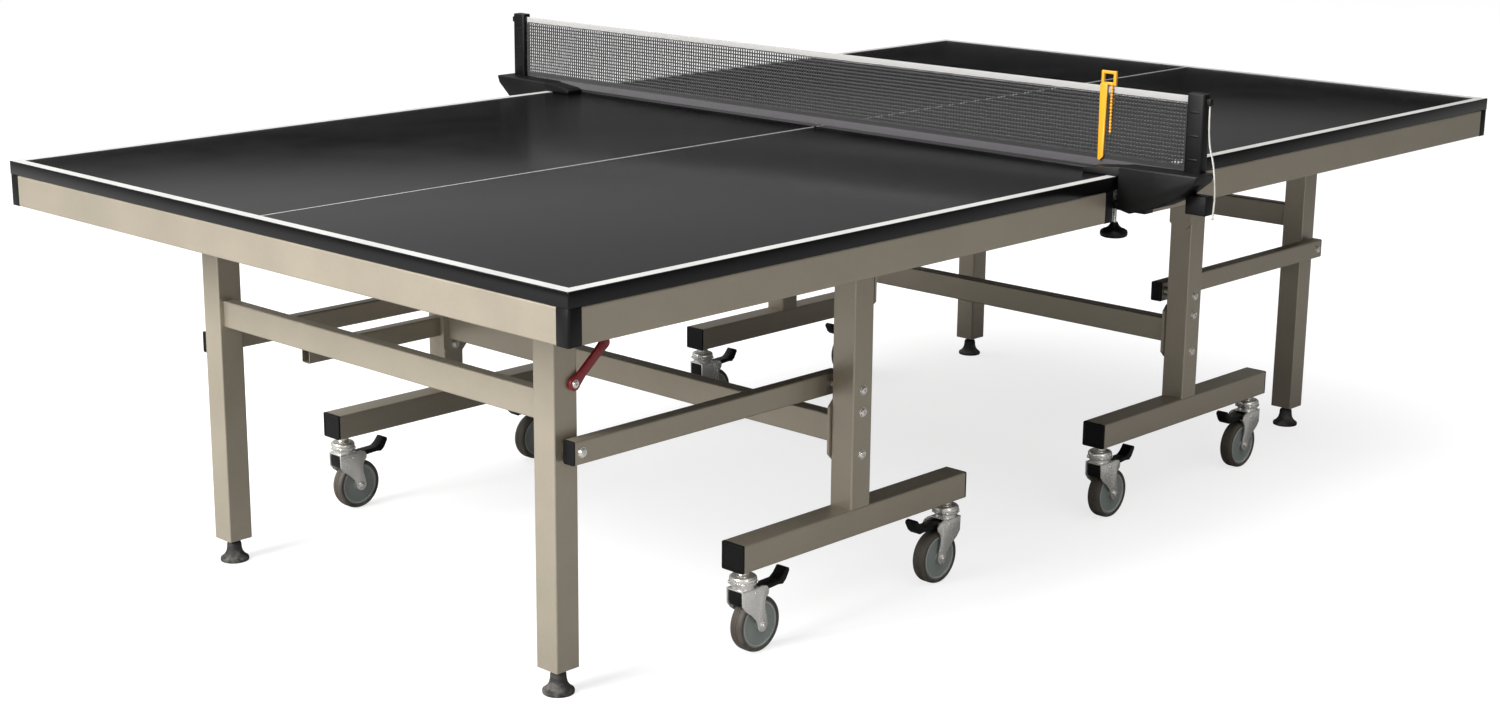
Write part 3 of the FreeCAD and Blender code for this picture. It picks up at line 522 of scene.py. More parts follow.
# Each finish: what makes it, its material's name, its colour setting and its other values.
FINISHES = {
    "playing_board": (board_finish, "satin black board", "board", {}),
    "line_paint": (grained_finish, "white line paint", "line", dict(rough=0.5, grain=1200.0, spread=0.05)),
    "satin_frame": (grained_finish, "champagne satin metal", "metal",
                    dict(rough=0.36, metal=0.62, grain=1600.0, depth=0.10, spread=0.05, dust=0.10)),
    "black_plastic": (grained_finish, "moulded black plastic", "plastic",
                      dict(rough=0.42, grain=1300.0, depth=0.3, spread=0.2, dust=0.08, specular=0.22)),
    "bright_steel": (grained_finish, "bright plated steel", "steel",
                     dict(rough=0.27, metal=0.85, grain=2200.0, depth=0.03, spread=0.05)),
    "black_rubber": (grained_finish, "matt black rubber", "rubber",
                     dict(rough=0.72, grain=800.0, depth=0.4, spread=0.2, dust=0.06)),
    "tyre_rubber": (grained_finish, "wheel tread rubber", "tyre",
                    dict(rough=0.62, grain=700.0, depth=0.35, spread=0.15, dust=0.05)),
    "wheel_disc": (grained_finish, "blue grey wheel disc", "disc", dict(rough=0.42)),
    "wheel_ring": (grained_finish, "pale wheel ring", "ring", dict(rough=0.4, spread=0.06)),
    "red_plastic": (grained_finish, "red lever plastic", "lever",
                    dict(rough=0.34, depth=0.12, spread=0.1, coat=0.2)),
    "orange_plastic": (grained_finish, "amber gauge plastic", "gauge",
                       dict(rough=0.32, grain=700.0, depth=0.1, spread=0.1, coat=0.3)),
    "net_twine": (cloth_finish, "black net twine", "net", dict(threads=700.0)),
    "white_tape": (cloth_finish, "white net tape", "tape", dict(threads=560.0, spread=0.06)),
    "black_tape": (cloth_finish, "black net tape", "plastic", dict(threads=560.0)),
    # The grey strip at the net's foot is painted reflection: a grey sheet standing for the glossy table reflecting
    # white light under the net.
    "grey_tape": (cloth_finish, "grey net foot tape", "foot_tape", dict(threads=560.0)),
    "cord_fibre": (cloth_finish, "pale braided cord", "cord", dict(threads=1100.0, spread=0.12)),
}
MADE = {}


def finish_of(name):
    """Each finish is made once, when a piece first needs it."""
    if name not in MADE:
        maker, label, setting, values = FINISHES[name]
        MADE[name] = maker(label, getattr(bpy.context.scene.table_colours, setting), **values)
    return MADE[name]


def dress_node(node, name):
    """Give a frame node's own mesh a finish."""
    mesh = frame["nodes"][node].data
    mesh.materials.clear()
    mesh.materials.append(finish_of(name))


# ---- fasteners ----------------------------------------------------------------------------
def socket_bolt(radius=WASHER_RADIUS, height=4.6 * MM):
    """A button head with a hexagonal key socket and a washer, standing on Z = 0."""
    key = radius * 0.33
    washer = 1.2 * MM
    profile = [(key, height), (radius * 0.55, height), (radius * 0.78, height * 0.86),
               (radius * 0.86, height * 0.55), (radius * 0.86, washer), (radius * 0.97, washer),
               (radius, washer * 0.6), (radius, 0.0)]
    head = turned(profile, 24)
    rim = [edge for edge in head.edges if edge.is_boundary and edge.verts[0].co.z > height / 2]
    for vertex in {v for edge in rim for v in edge.verts}:
        angle = math.atan2(vertex.co.y, vertex.co.x) % (math.pi / 3) - math.pi / 6
        flat = key * math.cos(math.pi / 6) / math.cos(angle)
        vertex.co.xy = vertex.co.xy.normalized() * flat
    sunk = bmesh.ops.extrude_edge_only(head, edges=rim)["geom"]
    floor = [item for item in sunk if isinstance(item, bmesh.types.BMVert)]
    bmesh.ops.translate(head, vec=(0, 0, -height * 0.7), verts=floor)
    bmesh.ops.contextual_create(head, geom=[i for i in sunk if isinstance(i, bmesh.types.BMEdge)])
    bottom = [edge for edge in head.edges if edge.is_boundary]
    bmesh.ops.contextual_create(head, geom=bottom)
    bmesh.ops.recalc_face_normals(head, faces=head.faces)
    return head


def hex_nut():
    """A hexagonal nut with the bolt's tip standing out of it."""
    bolt = turned(in_mm([(0, 6.6), (4, 6.6), (5, 5.64), (5, 0), (0, 0)]), 16)
    return joined([hexagon(WASHER_RADIUS, 5 * MM, 0.5 * MM), bolt])


def cylinder(radius, low, high, steps=24):
    """A plain round bar from low to high on Z, with eased rims."""
    edge = 0.3 * MM
    return turned([(0.0, low), (radius - edge, low), (radius, low + edge), (radius, high - edge),
                   (radius - edge, high), (0.0, high)], steps)


# ---- settings -----------------------------------------------------------------------------
def colour_setting(name, description, default):
    return FloatVectorProperty(name=name, description=description, default=default, size=3, min=0.0,
                               max=1.0, subtype="COLOR")


def length_setting(name, description, default):
    return FloatProperty(name=name, description=description, default=default, min=0.0, unit="LENGTH",
                         precision=4)


class TableColours(bpy.types.PropertyGroup):
    """Base colours of the finishes."""
    metal: colour_setting("Frame", "Champagne satin frame metal", (0.35, 0.308, 0.241))
    board: colour_setting("Board", "Satin black playing board", (0.0016, 0.0015, 0.0016))
    line: colour_setting("Lines", "White line paint", (0.34, 0.34, 0.33))
    plastic: colour_setting("Plastic", "Moulded black plastic", (0.0016, 0.0016, 0.0016))
    steel: colour_setting("Steel", "Bright plated steel", (0.78, 0.76, 0.72))
    rubber: colour_setting("Rubber", "Black rubber of the feet", (0.007, 0.007, 0.007))
    tyre: colour_setting("Tyre", "Wheel tread", (0.058, 0.048, 0.037))
    disc: colour_setting("Disc", "Wheel side disc", (0.215, 0.238, 0.222))
    ring: colour_setting("Ring", "Thin ring on the wheel disc", (0.36, 0.38, 0.37))
    lever: colour_setting("Lever", "Release lever", (0.22, 0.006, 0.010))
    gauge: colour_setting("Gauge", "Net height gauge", (0.60, 0.27, 0.010))
    net: colour_setting("Net", "Net twine", (0.006, 0.006, 0.0062))
    tape: colour_setting("Top tape", "White tape along the net's top", (0.30, 0.295, 0.285))
    # Colour of the painted reflection: the grey strip at the net's foot stands for the table's reflection under
    # the net.
    foot_tape: colour_setting("Foot tape", "Grey strip along the net's foot, painted as the table's reflection under the net", (0.040, 0.037, 0.040))
    cord: colour_setting("Cord", "Net cord", (0.45, 0.43, 0.39))
    floor: colour_setting("Floor", "Studio floor", (0.30, 0.30, 0.30))


class TableSizes(bpy.types.PropertyGroup):
    """Sizes that the finished pieces add to the frame's."""
    edge_line: length_setting("Edge line", "White line along the sides and the end", 0.020)
    centre_line: length_setting("Centre line", "White line down the middle", 0.003)
    paint: length_setting("Paint", "Thickness of the line paint", 0.0003)
    board_edge: length_setting("Board edge", "Rounding of the board's edges", 0.0014)
    net_cell: length_setting("Net cell", "Pitch of the net's mesh", 0.0068)
    net_strand: length_setting("Net strand", "Thickness of the net's twine", 0.0042)
    top_tape: length_setting("Top tape", "Height of the white tape", 0.0145)
    foot_band: length_setting("Foot band", "Height of the black band over the grey painted reflection strip", 0.011)
    # Height of the painted reflection strip at the net's foot, which stands for the table's reflection under the
    # net.
    foot_tape: length_setting("Foot tape", "Height of the grey painted reflection strip at the net's foot", 0.014)
    wheel_steps: IntProperty(name="Wheel steps", description="Segments round a wheel", default=48, min=12)
    seed: IntProperty(name="Seed", description="Seed of the net's small irregularities", default=7, min=0)


# ---- operators ----------------------------------------------------------------------------
class TABLE_OT_camera(bpy.types.Operator):
    """Place the camera at the near left corner, a little above the table"""
    bl_idname = "table.camera"
    bl_label = "Camera"

    def execute(self, context):
        heading, dip, roll = math.radians(45.39), math.radians(14.37), math.radians(0.2)
        lens = bpy.data.cameras.new("camera")
        lens.lens, lens.sensor_width = 55.98, 36.0
        lens.shift_x, lens.shift_y = 0.0364, 0.0006
        camera = add_object("camera", lens)
        camera.location = (-3.505, -3.119, 1.487)
        ahead = Vector((math.sin(heading) * math.cos(dip), math.cos(heading) * math.cos(dip), -math.sin(dip)))
        upright = ahead.to_track_quat("-Z", "Y").to_matrix()
        camera.rotation_euler = (Matrix.Rotation(-roll, 3, ahead) @ upright).to_euler()
        context.scene.camera = camera
        return {"FINISHED"}


class TABLE_OT_net_cord(bpy.types.Operator):
    """Hang the net's drawstring from the right post, with its knot"""
    bl_idname = "table.net_cord"
    bl_label = "Net cord"

    def execute(self, context):
        line = bpy.data.curves.new("net_drawstring", "CURVE")
        line.dimensions = "3D"
        line.bevel_depth = CORD_DIAMETER / 2
        line.bevel_resolution = 4
        line.resolution_u = 16
        line.use_fill_caps = True
        spline = line.splines.new("NURBS")
        spline.points.add(len(CORD_ROUTE) - 1)
        for point, place in zip(spline.points, CORD_ROUTE):
            point.co = (*place, 1.0)
        spline.order_u = 3
        spline.use_endpoint_u = True
        line.materials.append(finish_of("cord_fibre"))
        cord = add_object("net_drawstring", line)
        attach(cord, BODY_OF["net_cord"])
        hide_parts("net_cord")
        strand, end = 1.2 * MM, CORD_ROUTE[-1]
        loops = []
        for tilt, size in ((0.5, 2.1 * MM), (-0.6, 1.9 * MM), (1.5, 1.7 * MM)):
            ring = turned([(size + strand * math.cos(a), strand * math.sin(a))
                           for a in (step * FULL_TURN / 8 for step in range(8))], 20, closed=True)
            loops.append(moved(ring, Matrix.Rotation(tilt, 4, "X")))
        knot = shifted(joined(loops), end[0], end[1], end[2] + 2.5 * MM)
        knot_piece = make_piece("net_drawstring_knot", knot, "cord_fibre", "net_cord", stands_for=False)
        return {"FINISHED"}


class TABLE_OT_boards(bpy.types.Operator):
    """Make the two playing boards with their painted lines"""
    bl_idname = "table.boards"
    bl_label = "Boards and lines"

    def execute(self, context):
        size = sizes()
        edge = size.board_edge
        low_z, high_z = SURFACE - size.paint, SURFACE + size.paint
        inner_x, inner_y = END_X + size.edge_line, HALF_WIDTH - size.edge_line
        board = block(BOARD_LOW, BOARD_HIGH, edge, 3)
        make_each(HALVES, "playing_board", board, "playing_board", "board")
        strips = [block((x0, y0, low_z), (x1, y1, high_z)) for x0, y0, x1, y1 in (
            (END_X + edge, -inner_y, inner_x, inner_y),
            (inner_x, -size.centre_line / 2, NET_SIDE_X - edge, size.centre_line / 2),
            (END_X + edge, inner_y, NET_SIDE_X - edge, HALF_WIDTH - edge),
            (END_X + edge, edge - HALF_WIDTH, NET_SIDE_X - edge, -inner_y))]
        make_each(HALVES, "painted_lines", joined(strips), "line_paint", "board", slot="playing_board",
                  stands_for=False)
        return {"FINISHED"}


class TABLE_OT_frame_metal(bpy.types.Operator):
    """Finish the tubes, rails and hinge brackets that keep their frame shape"""
    bl_idname = "table.frame_metal"
    bl_label = "Frame metal"

    def execute(self, context):
        for half in HALVES:
            for node in ("apron_rails", "hinge_brackets", "wheel_stands", "crossbeam", "legs", "leg_crossbar",
                         "link_bars"):
                dress_node(node + "_" + half, "satin_frame")
        return {"FINISHED"}


class TABLE_OT_corner_guards(bpy.types.Operator):
    """Make the moulded guards that close the apron's corners"""
    bl_idname = "table.corner_guards"
    bl_label = "Corner guards"

    def execute(self, context):
        length, depth, y = 26 * MM, 25 * MM, HALF_WIDTH
        guards = []
        for x, toward in ((RAIL_LOW.x, 1), (RAIL_HIGH.x, -1)):
            outline = [(x + toward * u, y - v) for u, v in (
                (length, 0), (length, depth), (depth, depth), (depth, length), (0, length), (0, 0))]
            guard = plate(outline, RAIL_LOW.z, RAIL_HIGH.z, "XY")
            corner = [edge for edge in guard.edges
                      if all((v.co.xy - Vector((x, y))).length < 1e-6 for v in edge.verts)]
            soften(guard, 4 * MM, 4, corner)
            guards.append(soften(guard, 0.8 * MM, 2, sharp_edges(guard)))
        make_each(HALVES, "apron_corners", joined(on_both_sides(guards)), "black_plastic", "corner_guards")
        return {"FINISHED"}


def tube_plug(size_x, size_y, thick):
    """A tube's end cap, standing on Z = 0, with a shallow recess in its face."""
    half_x, half_y = size_x / 2, size_y / 2
    cap = block((-half_x, -half_y, 0), (half_x, half_y, thick))
    soften(cap, 3 * MM, 4, upright_edges(cap, thick / 2))
    top = [face for face in cap.faces if face.normal.z > 0.9]
    bmesh.ops.inset_region(cap, faces=top, thickness=0.5 * MM, depth=0.0)
    rims = [edge for edge in cap.edges
            if all(abs(v.co.z - thick) < 1e-6 for v in edge.verts) and edge.calc_face_angle(0) > 0.5]
    soften(cap, 0.7 * MM, 3, rims)
    top = [face for face in cap.faces if face.normal.z > 0.99 and face.calc_area() > size_x * size_y * 0.3]
    for border, depth in ((3.5 * MM, 0.0), (0.8 * MM, -0.7 * MM)):
        bmesh.ops.inset_region(cap, faces=top, thickness=border, depth=depth)
    return cap


class TABLE_OT_end_caps(bpy.types.Operator):
    """Make the caps of the base bars and the wheel posts"""
    bl_idname = "table.end_caps"
    bl_label = "End caps"

    def execute(self, context):
        base_z = BASE_LOW_Z + TUBE / 2
        caps = []
        for y in (STAND_Y, -STAND_Y):
            plugs = [tube_plug(TUBE, TUBE, CAP_THICK) for _ in range(3)]
            caps += [along_x(plugs[0], CAPS_LOW.x + CAP_THICK, y, base_z, -1),
                     along_x(plugs[1], CAPS_HIGH.x - CAP_THICK, y, base_z),
                     shifted(plugs[2], POST_X, y, CAPS_HIGH.z - CAP_THICK)]
        make_each(HALVES, "tube_caps", joined(caps), "black_plastic", "base_caps")
        return {"FINISHED"}


class TABLE_OT_trolley_bolts(bpy.types.Operator):
    """Make the bolts, nuts, spacers and caster collars of the trolleys"""
    bl_idname = "table.trolley_bolts"
    bl_label = "Trolley bolts"

    def execute(self, context):
        face_y = CAPS_HIGH.y
        inner_y = face_y - TUBE
        plate_y = inner_y - END_PLATE
        link_outer = LINK_HIGH.y
        link_inner = link_outer - LINK_WIDTH
        beam_bolts = (BEAM_Z - BOLT_PITCH / 2, BEAM_Z + BOLT_PITCH / 2)
        parts = [along_y(socket_bolt(), POST_X, face_y, z) for z in (*beam_bolts, LINK_Z)]
        parts += [along_y(hex_nut(), POST_X, plate_y, z, -1) for z in beam_bolts]
        for radius, length, out, y in (
                (WASHER_RADIUS, inner_y - link_outer - PLAY, 1, link_outer + PLAY),
                (WASHER_RADIUS, 3 * MM, -1, link_inner - PLAY),
                (PIN_RADIUS, face_y - link_inner + 3.4 * MM, -1, face_y)):
            parts.append(along_y(cylinder(radius, 0.0, length), POST_X, y, LINK_Z, out))
        collar = in_mm([(6.2, 0), (12, 0), (12, -9), (11, -11), (6.2, -11)], 0.0, BASE_LOW_Z)
        parts += [shifted(turned(collar, 24, closed=True), swivel_x(row, "left"), STAND_Y, 0)
                  for row in ("outer", "inner")]
        shape = joined(on_both_sides(parts))
        make_each(HALVES, "trolley_fasteners", shape, "bright_steel", "trolley_bolts")
        return {"FINISHED"}


class TABLE_OT_link_fittings(bpy.types.Operator):
    """Make the link bars' end caps and the bolts at their leg ends"""
    bl_idname = "table.link_fittings"
    bl_label = "Link fittings"

    def execute(self, context):
        height, thick = LINK_HIGH.z - LINK_LOW.z, 3 * MM
        middle_y = LINK_HIGH.y - LINK_WIDTH / 2
        bolt_x = LINK_LOW.x + 15 * MM
        leg_face = LEG_Y + TUBE / 2
        caps = [along_x(tube_plug(height, LINK_WIDTH, thick), x, middle_y, LINK_Z, out)
                for x, out in ((LINK_LOW.x, -1), (LINK_HIGH.x, 1))]
        washer = cylinder(WASHER_RADIUS, 0.0, LINK_HIGH.y - LINK_WIDTH - leg_face - PLAY)
        bolts = [along_y(socket_bolt(), bolt_x, LINK_HIGH.y, LINK_Z),
                 along_y(washer, bolt_x, leg_face + PLAY, LINK_Z)]
        make_each(HALVES, "link_caps", joined(on_both_sides(caps)), "black_plastic", "link_fittings")
        make_each(HALVES, "link_bolts", joined(on_both_sides(bolts)), "bright_steel", "link_fittings")
        return {"FINISHED"}


class TABLE_OT_feet(bpy.types.Operator):
    """Make the four levelling feet with their threaded stems"""
    bl_idname = "table.feet"
    bl_label = "Levelling feet"

    def execute(self, context):
        radius, top, bell_top = (FOOT_HIGH.x - FOOT_LOW.x) / 2, FOOT_HIGH.z, 38 * MM
        rim = in_mm([(-1.5, 0), (-0.4, 0.5), (0, 1.6), (0, 5), (-0.6, 6.4), (-2.4, 7.4)], radius)
        bell = [(radius * share, height * MM) for share, height in (
            (0.72, 12), (0.58, 18), (0.52, 25), (0.50, 33), (0.46, 36), (0.36, 37.5))]
        profile = [(0.0, 1.2 * MM), (radius * 0.7, 1.2 * MM), (radius * 0.75, 0.0)] + rim + bell
        profile += [(6 * MM, bell_top), (0.0, bell_top)]
        stem = thread(bell_top, top, 1.6 * MM, 4.2 * MM, 5 * MM)
        stem += [(4.2 * MM, top - 1 * MM), (3.4 * MM, top), (0.0, top)]
        places = [(hand + "_" + half, turn @ Matrix.Translation((LEG_X, side * LEG_Y, 0)))
                  for half, turn in HALVES.items() for hand, side in SIDES.items()]
        make_each(places, "rubber_foot", turned(profile, 40), "black_rubber", "foot")
        make_each(places, "foot_stem", turned(stem, 16), "bright_steel", "foot")
        return {"FINISHED"}


class TABLE_OT_lock_levers(bpy.types.Operator):
    """Make the red release levers on the right legs"""
    bl_idname = "table.lock_levers"
    bl_label = "Lock levers"

    def execute(self, context):
        reach, half_width, tilt = 86 * MM, 10 * MM, 40
        near, far = -(LEG_Y + TUBE / 2 + 1 * MM), -(LEG_Y + TUBE / 2 + 7 * MM)
        pivot = JOINTS["lever_a_turn"]["pos_m"]
        outline = arc(0, 0, half_width + 2 * MM, 60, 300, 12) + in_mm([(22, -8), (60, -8)])
        outline += arc(reach, 0, half_width, -80, 80, 10) + in_mm([(60, 8), (22, 8)])
        parts = [plate(outline, far, near, "XZ", 1.4 * MM, 3)]
        for x in (70 * MM, 76 * MM, 82 * MM):
            parts.append(block((x, far - 1 * MM, -7 * MM), (x + 2 * MM, far + 1 * MM, 7 * MM), 0.5 * MM))
        lever = moved(joined(parts), Matrix.Rotation(math.radians(-tilt), 4, "Y"))
        screw = along_y(socket_bolt(7 * MM, 3 * MM), 0, far, 0, -1)
        places = [(half, turn @ Matrix.Translation((pivot[0], 0, pivot[2]))) for half, turn in HALVES.items()]
        make_each(places, "release_lever", lever, "red_plastic", "lock_lever")
        make_each(places, "release_pivot", screw, "bright_steel", "lock_lever")
        return {"FINISHED"}


# ---- casters: shapes stand at their swivel's axis and trail towards +X ----------------------
TRAIL = 30 * MM
WHEEL_RADIUS = 50 * MM
CHEEK_INNER = 16.5 * MM
CHEEK_OUTER = 19.5 * MM
RACE_RADIUS = 24 * MM
PEDAL_PIN_X, PEDAL_PIN_Z = 12 * MM, 111 * MM

# Outlines in millimetres: (x, z) for the fork and housing, (radius, height or half width) for the rest.
CHEEK_TOP = [(-21, 122), (30, 122), (40, 119), (45, 112), (44, 104), (38, 98), (35, 90), (36, 76), (40, 62)]
CHEEK_FRONT = [(14, 62), (2, 74), (-12, 84), (-20, 94)]
BALL_RACE = [(0.0, 166), (5.4, 166), (6, 165), (6, 144.5), (18, 144.5), (21, 143.8), (23.4, 141.6), (24, 139),
             (24, 136.6), (22.4, 136), (22.4, 134.6), (24, 134), (24, 130.4), (23, 128.6), (20, 127.6),
             (20, 121), (0.0, 121)]
RACE_STUD = [(0.0, 2.4), (2, 2.2), (3.4, 1.2), (3.6, 0.0)]
AXLE_TIP = [(0.0, 1.6), (3, 1.2), (4.4, 0.0)]
PEDAL_RIVET = [(0.0, 1.4), (2.6, 1.0), (3.4, 0.0)]
BRAKE_HOUSING = [(-18, 119), (-10, 119), (-9, 100), (-11, 93), (-17, 92), (-19, 100)]
HALF_TYRE = [(42, 11.8), (42.4, 13.0), (44.4, 13.8), (46.6, 13.4), (48.6, 11.6), (49.7, 8.8), (50, 5.2),
             (50, 3.4), (49.3, 3.0), (49.3, 2.2), (50, 1.8)]
HALF_DISC = [(5.2, 15), (8, 15), (8.6, 14.4), (11.4, 14.4), (12, 13.8), (12.6, 11.6), (16, 11.0), (34, 10.4),
             (37.2, 10.8), (37.6, 12.6), (39.4, 12.6), (39.8, 11.2), (41.2, 11.2), (41.6, 11.6), (42, 11.6)]


def caster_places(extra=Matrix.Identity(4)):
    """(suffix, placing matrix) of all eight casters."""
    for half, turn in HALVES.items():
        for row, angle in (("outer", 0.0), ("inner", math.pi)):
            for hand, side in SIDES.items():
                place = Matrix.Translation((swivel_x(row, hand), side * STAND_Y, 0))
                yield row + "_" + hand + "_" + half, turn @ place @ Matrix.Rotation(angle, 4, "Z") @ extra


class TABLE_OT_forks(bpy.types.Operator):
    """Make the casters' pressed forks, ball races, axles and brake housings"""
    bl_idname = "table.forks"
    bl_label = "Caster forks"

    def execute(self, context):
        cheek = in_mm(CHEEK_TOP) + arc(TRAIL, WHEEL_RADIUS, 12 * MM, 25, -190, 10) + in_mm(CHEEK_FRONT)
        parts = [plate(cheek, side * CHEEK_INNER, side * CHEEK_OUTER, "XZ", 0.7 * MM)
                 for side in SIDES.values()]
        parts += [slab(21 * MM, -CHEEK_OUTER, CHEEK_OUTER, 119 * MM, 122 * MM, 1.2 * MM, 3),
                  turned(in_mm(BALL_RACE), 40)]
        for quarter in range(4):
            stud = along_x(turned(in_mm(RACE_STUD), 12), RACE_RADIUS - 0.4 * MM, 0, 131.6 * MM)
            parts.append(moved(stud, Matrix.Rotation(math.radians(45 + 90 * quarter), 4, "Z")))
        for side in SIDES.values():
            face = side * CHEEK_OUTER
            tip = turned(in_mm(AXLE_TIP), 16)
            parts += [along_y(hexagon(7.4 * MM, 3 * MM, 0.5 * MM), TRAIL, face, WHEEL_RADIUS, side),
                      along_y(tip, TRAIL, side * (CHEEK_OUTER + 3 * MM), WHEEL_RADIUS, side),
                      along_y(turned(in_mm(PEDAL_RIVET), 16), PEDAL_PIN_X, face, PEDAL_PIN_Z, side)]
        parts.append(along_y(cylinder(PIN_RADIUS, 0.0, 2 * CHEEK_OUTER), TRAIL, -CHEEK_OUTER, WHEEL_RADIUS))
        make_each(caster_places(), "caster_fork", joined(parts), "bright_steel", "fork")
        housing = plate(in_mm(BRAKE_HOUSING), -15.5 * MM, 15.5 * MM, "XZ", 1.5 * MM, 3)
        make_each(caster_places(), "brake_housing", housing, "black_plastic", "fork")
        return {"FINISHED"}


class TABLE_OT_wheels(bpy.types.Operator):
    """Make the casters' tyres and the discs that they run on"""
    bl_idname = "table.wheels"
    bl_label = "Caster wheels"

    def execute(self, context):
        ring_inner, ring_outer, ring_side = 37.3 * MM, 39.7 * MM, 11.5 * MM
        tyre, disc = (turned(half + [(r, -y) for r, y in reversed(half)], sizes().wheel_steps, closed=True)
                      for half in (in_mm(HALF_TYRE), in_mm(HALF_DISC)))
        for face in disc.faces:
            middle = face.calc_center_median()
            if ring_inner < middle.xy.length < ring_outer and abs(middle.z) > ring_side:
                face.material_index = 1
        spot = Matrix.Translation((TRAIL, 0, WHEEL_RADIUS)) @ Matrix.Rotation(math.pi / 2, 4, "X")
        make_each(caster_places(spot), "tyre", tyre, "tyre_rubber", "wheel")
        make_each(caster_places(spot), "wheel_disc", disc, ["wheel_disc", "wheel_ring"], "wheel", slot=None)
        return {"FINISHED"}


class TABLE_OT_pedals(bpy.types.Operator):
    """Make the casters' brake pedals"""
    bl_idname = "table.pedals"
    bl_label = "Brake pedals"

    def execute(self, context):
        toe = 104 * MM
        outline = arc(PEDAL_PIN_X, PEDAL_PIN_Z, 5.5 * MM, 120, 270, 6)
        outline += in_mm([(10, -5)], PEDAL_PIN_X, PEDAL_PIN_Z)
        outline += in_mm([(-28, -1.5), (-16, -3), (-8, 4), (0, 18), (-1, 23), (-8, 25), (-18, 13), (-27, 7)],
                         toe, PEDAL_PIN_Z)
        outline += in_mm([(8, 5.5)], PEDAL_PIN_X, PEDAL_PIN_Z)
        parts = [plate(outline, -12 * MM, 12 * MM, "XZ", 1.4 * MM, 3)]
        slope = Matrix.Rotation(math.radians(-52), 4, "Y")
        for index in range(4):
            ridge = slab(0.9 * MM, -10 * MM, 10 * MM, -0.8 * MM, 0.8 * MM, 0.5 * MM)
            parts.append(shifted(moved(ridge, slope), toe - (17 - 4 * index) * MM, 0,
                                 PEDAL_PIN_Z + (9.6 + 3.6 * index) * MM))
        make_each(caster_places(), "brake_pedal", joined(parts), "black_plastic", "pedal")
        return {"FINISHED"}


# ---- net set ------------------------------------------------------------------------------
class TABLE_OT_net(bpy.types.Operator):
    """Stretch the net's mesh between the posts, sew its tapes on, and add a grey strip at its foot as a painted
    reflection of the table under the net
    """
    bl_idname = "table.net"
    bl_label = "Net"

    def execute(self, context):
        size = sizes()
        foot_z = NET_LOW.z + 3 * MM
        band_z = foot_z + size.foot_tape
        mesh_low = band_z + size.foot_band - 2 * MM
        tape_low = NET_HIGH.z - size.top_tape
        mesh_high = tape_low + 2 * MM
        cloth = self.knotted(size, mesh_low, mesh_high)
        twine_area = sum(face.calc_area() for face in cloth.faces) / 2
        net = make_piece("net_mesh", cloth, "net_twine", "net", slot="net_fabric", sharp=180)
        thick = (NET_HIGH.x - NET_LOW.x) / 2
        tapes = []
        for name, finish, low, high, half_thick, edge in (
                ("net_top_tape", "white_tape", tape_low, NET_HIGH.z, thick, 0.9 * MM),
                ("net_foot_band", "black_tape", band_z, band_z + size.foot_band, thick * 0.9, 0.4 * MM),
                # Painted reflection: a grey sheet at the net's foot standing for the glossy table reflecting white
                # light under the net.
                ("net_foot_tape", "grey_tape", foot_z, band_z, thick * 0.7, 0.3 * MM)):
            band = slab(half_thick, -NET_SPAN, NET_SPAN, low, high, edge, 3)
            tapes.append(self.sewn(name, band, finish))
        ends = [slab(thick, y - 7 * MM, y + 7 * MM, foot_z, tape_low, 0.5 * MM)
                for y in (NET_SPAN, -NET_SPAN)]
        tapes += [self.sewn("net_end_tapes", joined(ends), "black_tape"),
                  self.sewn("net_stitches", self.stitched(thick, tape_low), "white_tape")]
        return {"FINISHED"}

    def knotted(self, size, low, high):
        """The open mesh as a slightly uneven grid of twine."""
        cloth = bmesh.new()
        bmesh.ops.create_grid(cloth, x_segments=round(2 * NET_SPAN / size.net_cell),
                              y_segments=round((high - low) / size.net_cell), size=0.5)
        bmesh.ops.scale(cloth, vec=(2 * NET_SPAN, high - low, 1), verts=cloth.verts)
        moved(cloth, Matrix(((0, 0, 1, 0), (1, 0, 0, 0), (0, 1, 0, (low + high) / 2), (0, 0, 0, 1))))
        rng = random.Random(size.seed)
        slack = size.net_cell * 0.06
        for vertex in cloth.verts:
            vertex.co.y += rng.uniform(-slack, slack)
            vertex.co.z += rng.uniform(-slack, slack)
            vertex.co.x += rng.uniform(-slack, slack) * 0.5
        bmesh.ops.wireframe(cloth, faces=cloth.faces, thickness=size.net_strand, use_replace=True,
                            use_boundary=True)
        return cloth

    def stitched(self, thick, tape_low):
        """Two rows of stitches on each face of the top tape."""
        rows, pitch = bmesh.new(), 7 * MM
        for z in (tape_low + 1.6 * MM, tape_low + 2.6 * MM):
            for x in (-thick, thick):
                for index in range(int(2 * NET_SPAN / pitch)):
                    place = Matrix.Translation((x, -NET_SPAN + (index + 0.5) * pitch, z))
                    stitch = Matrix.Diagonal((0.25 * MM, 4.6 * MM, 0.35 * MM, 1))
                    bmesh.ops.create_cube(rows, size=1.0, matrix=place @ stitch)
        return rows

    def sewn(self, name, shape, finish):
        return make_piece(name, shape, finish, "net", slot="net_fabric", stands_for=False)


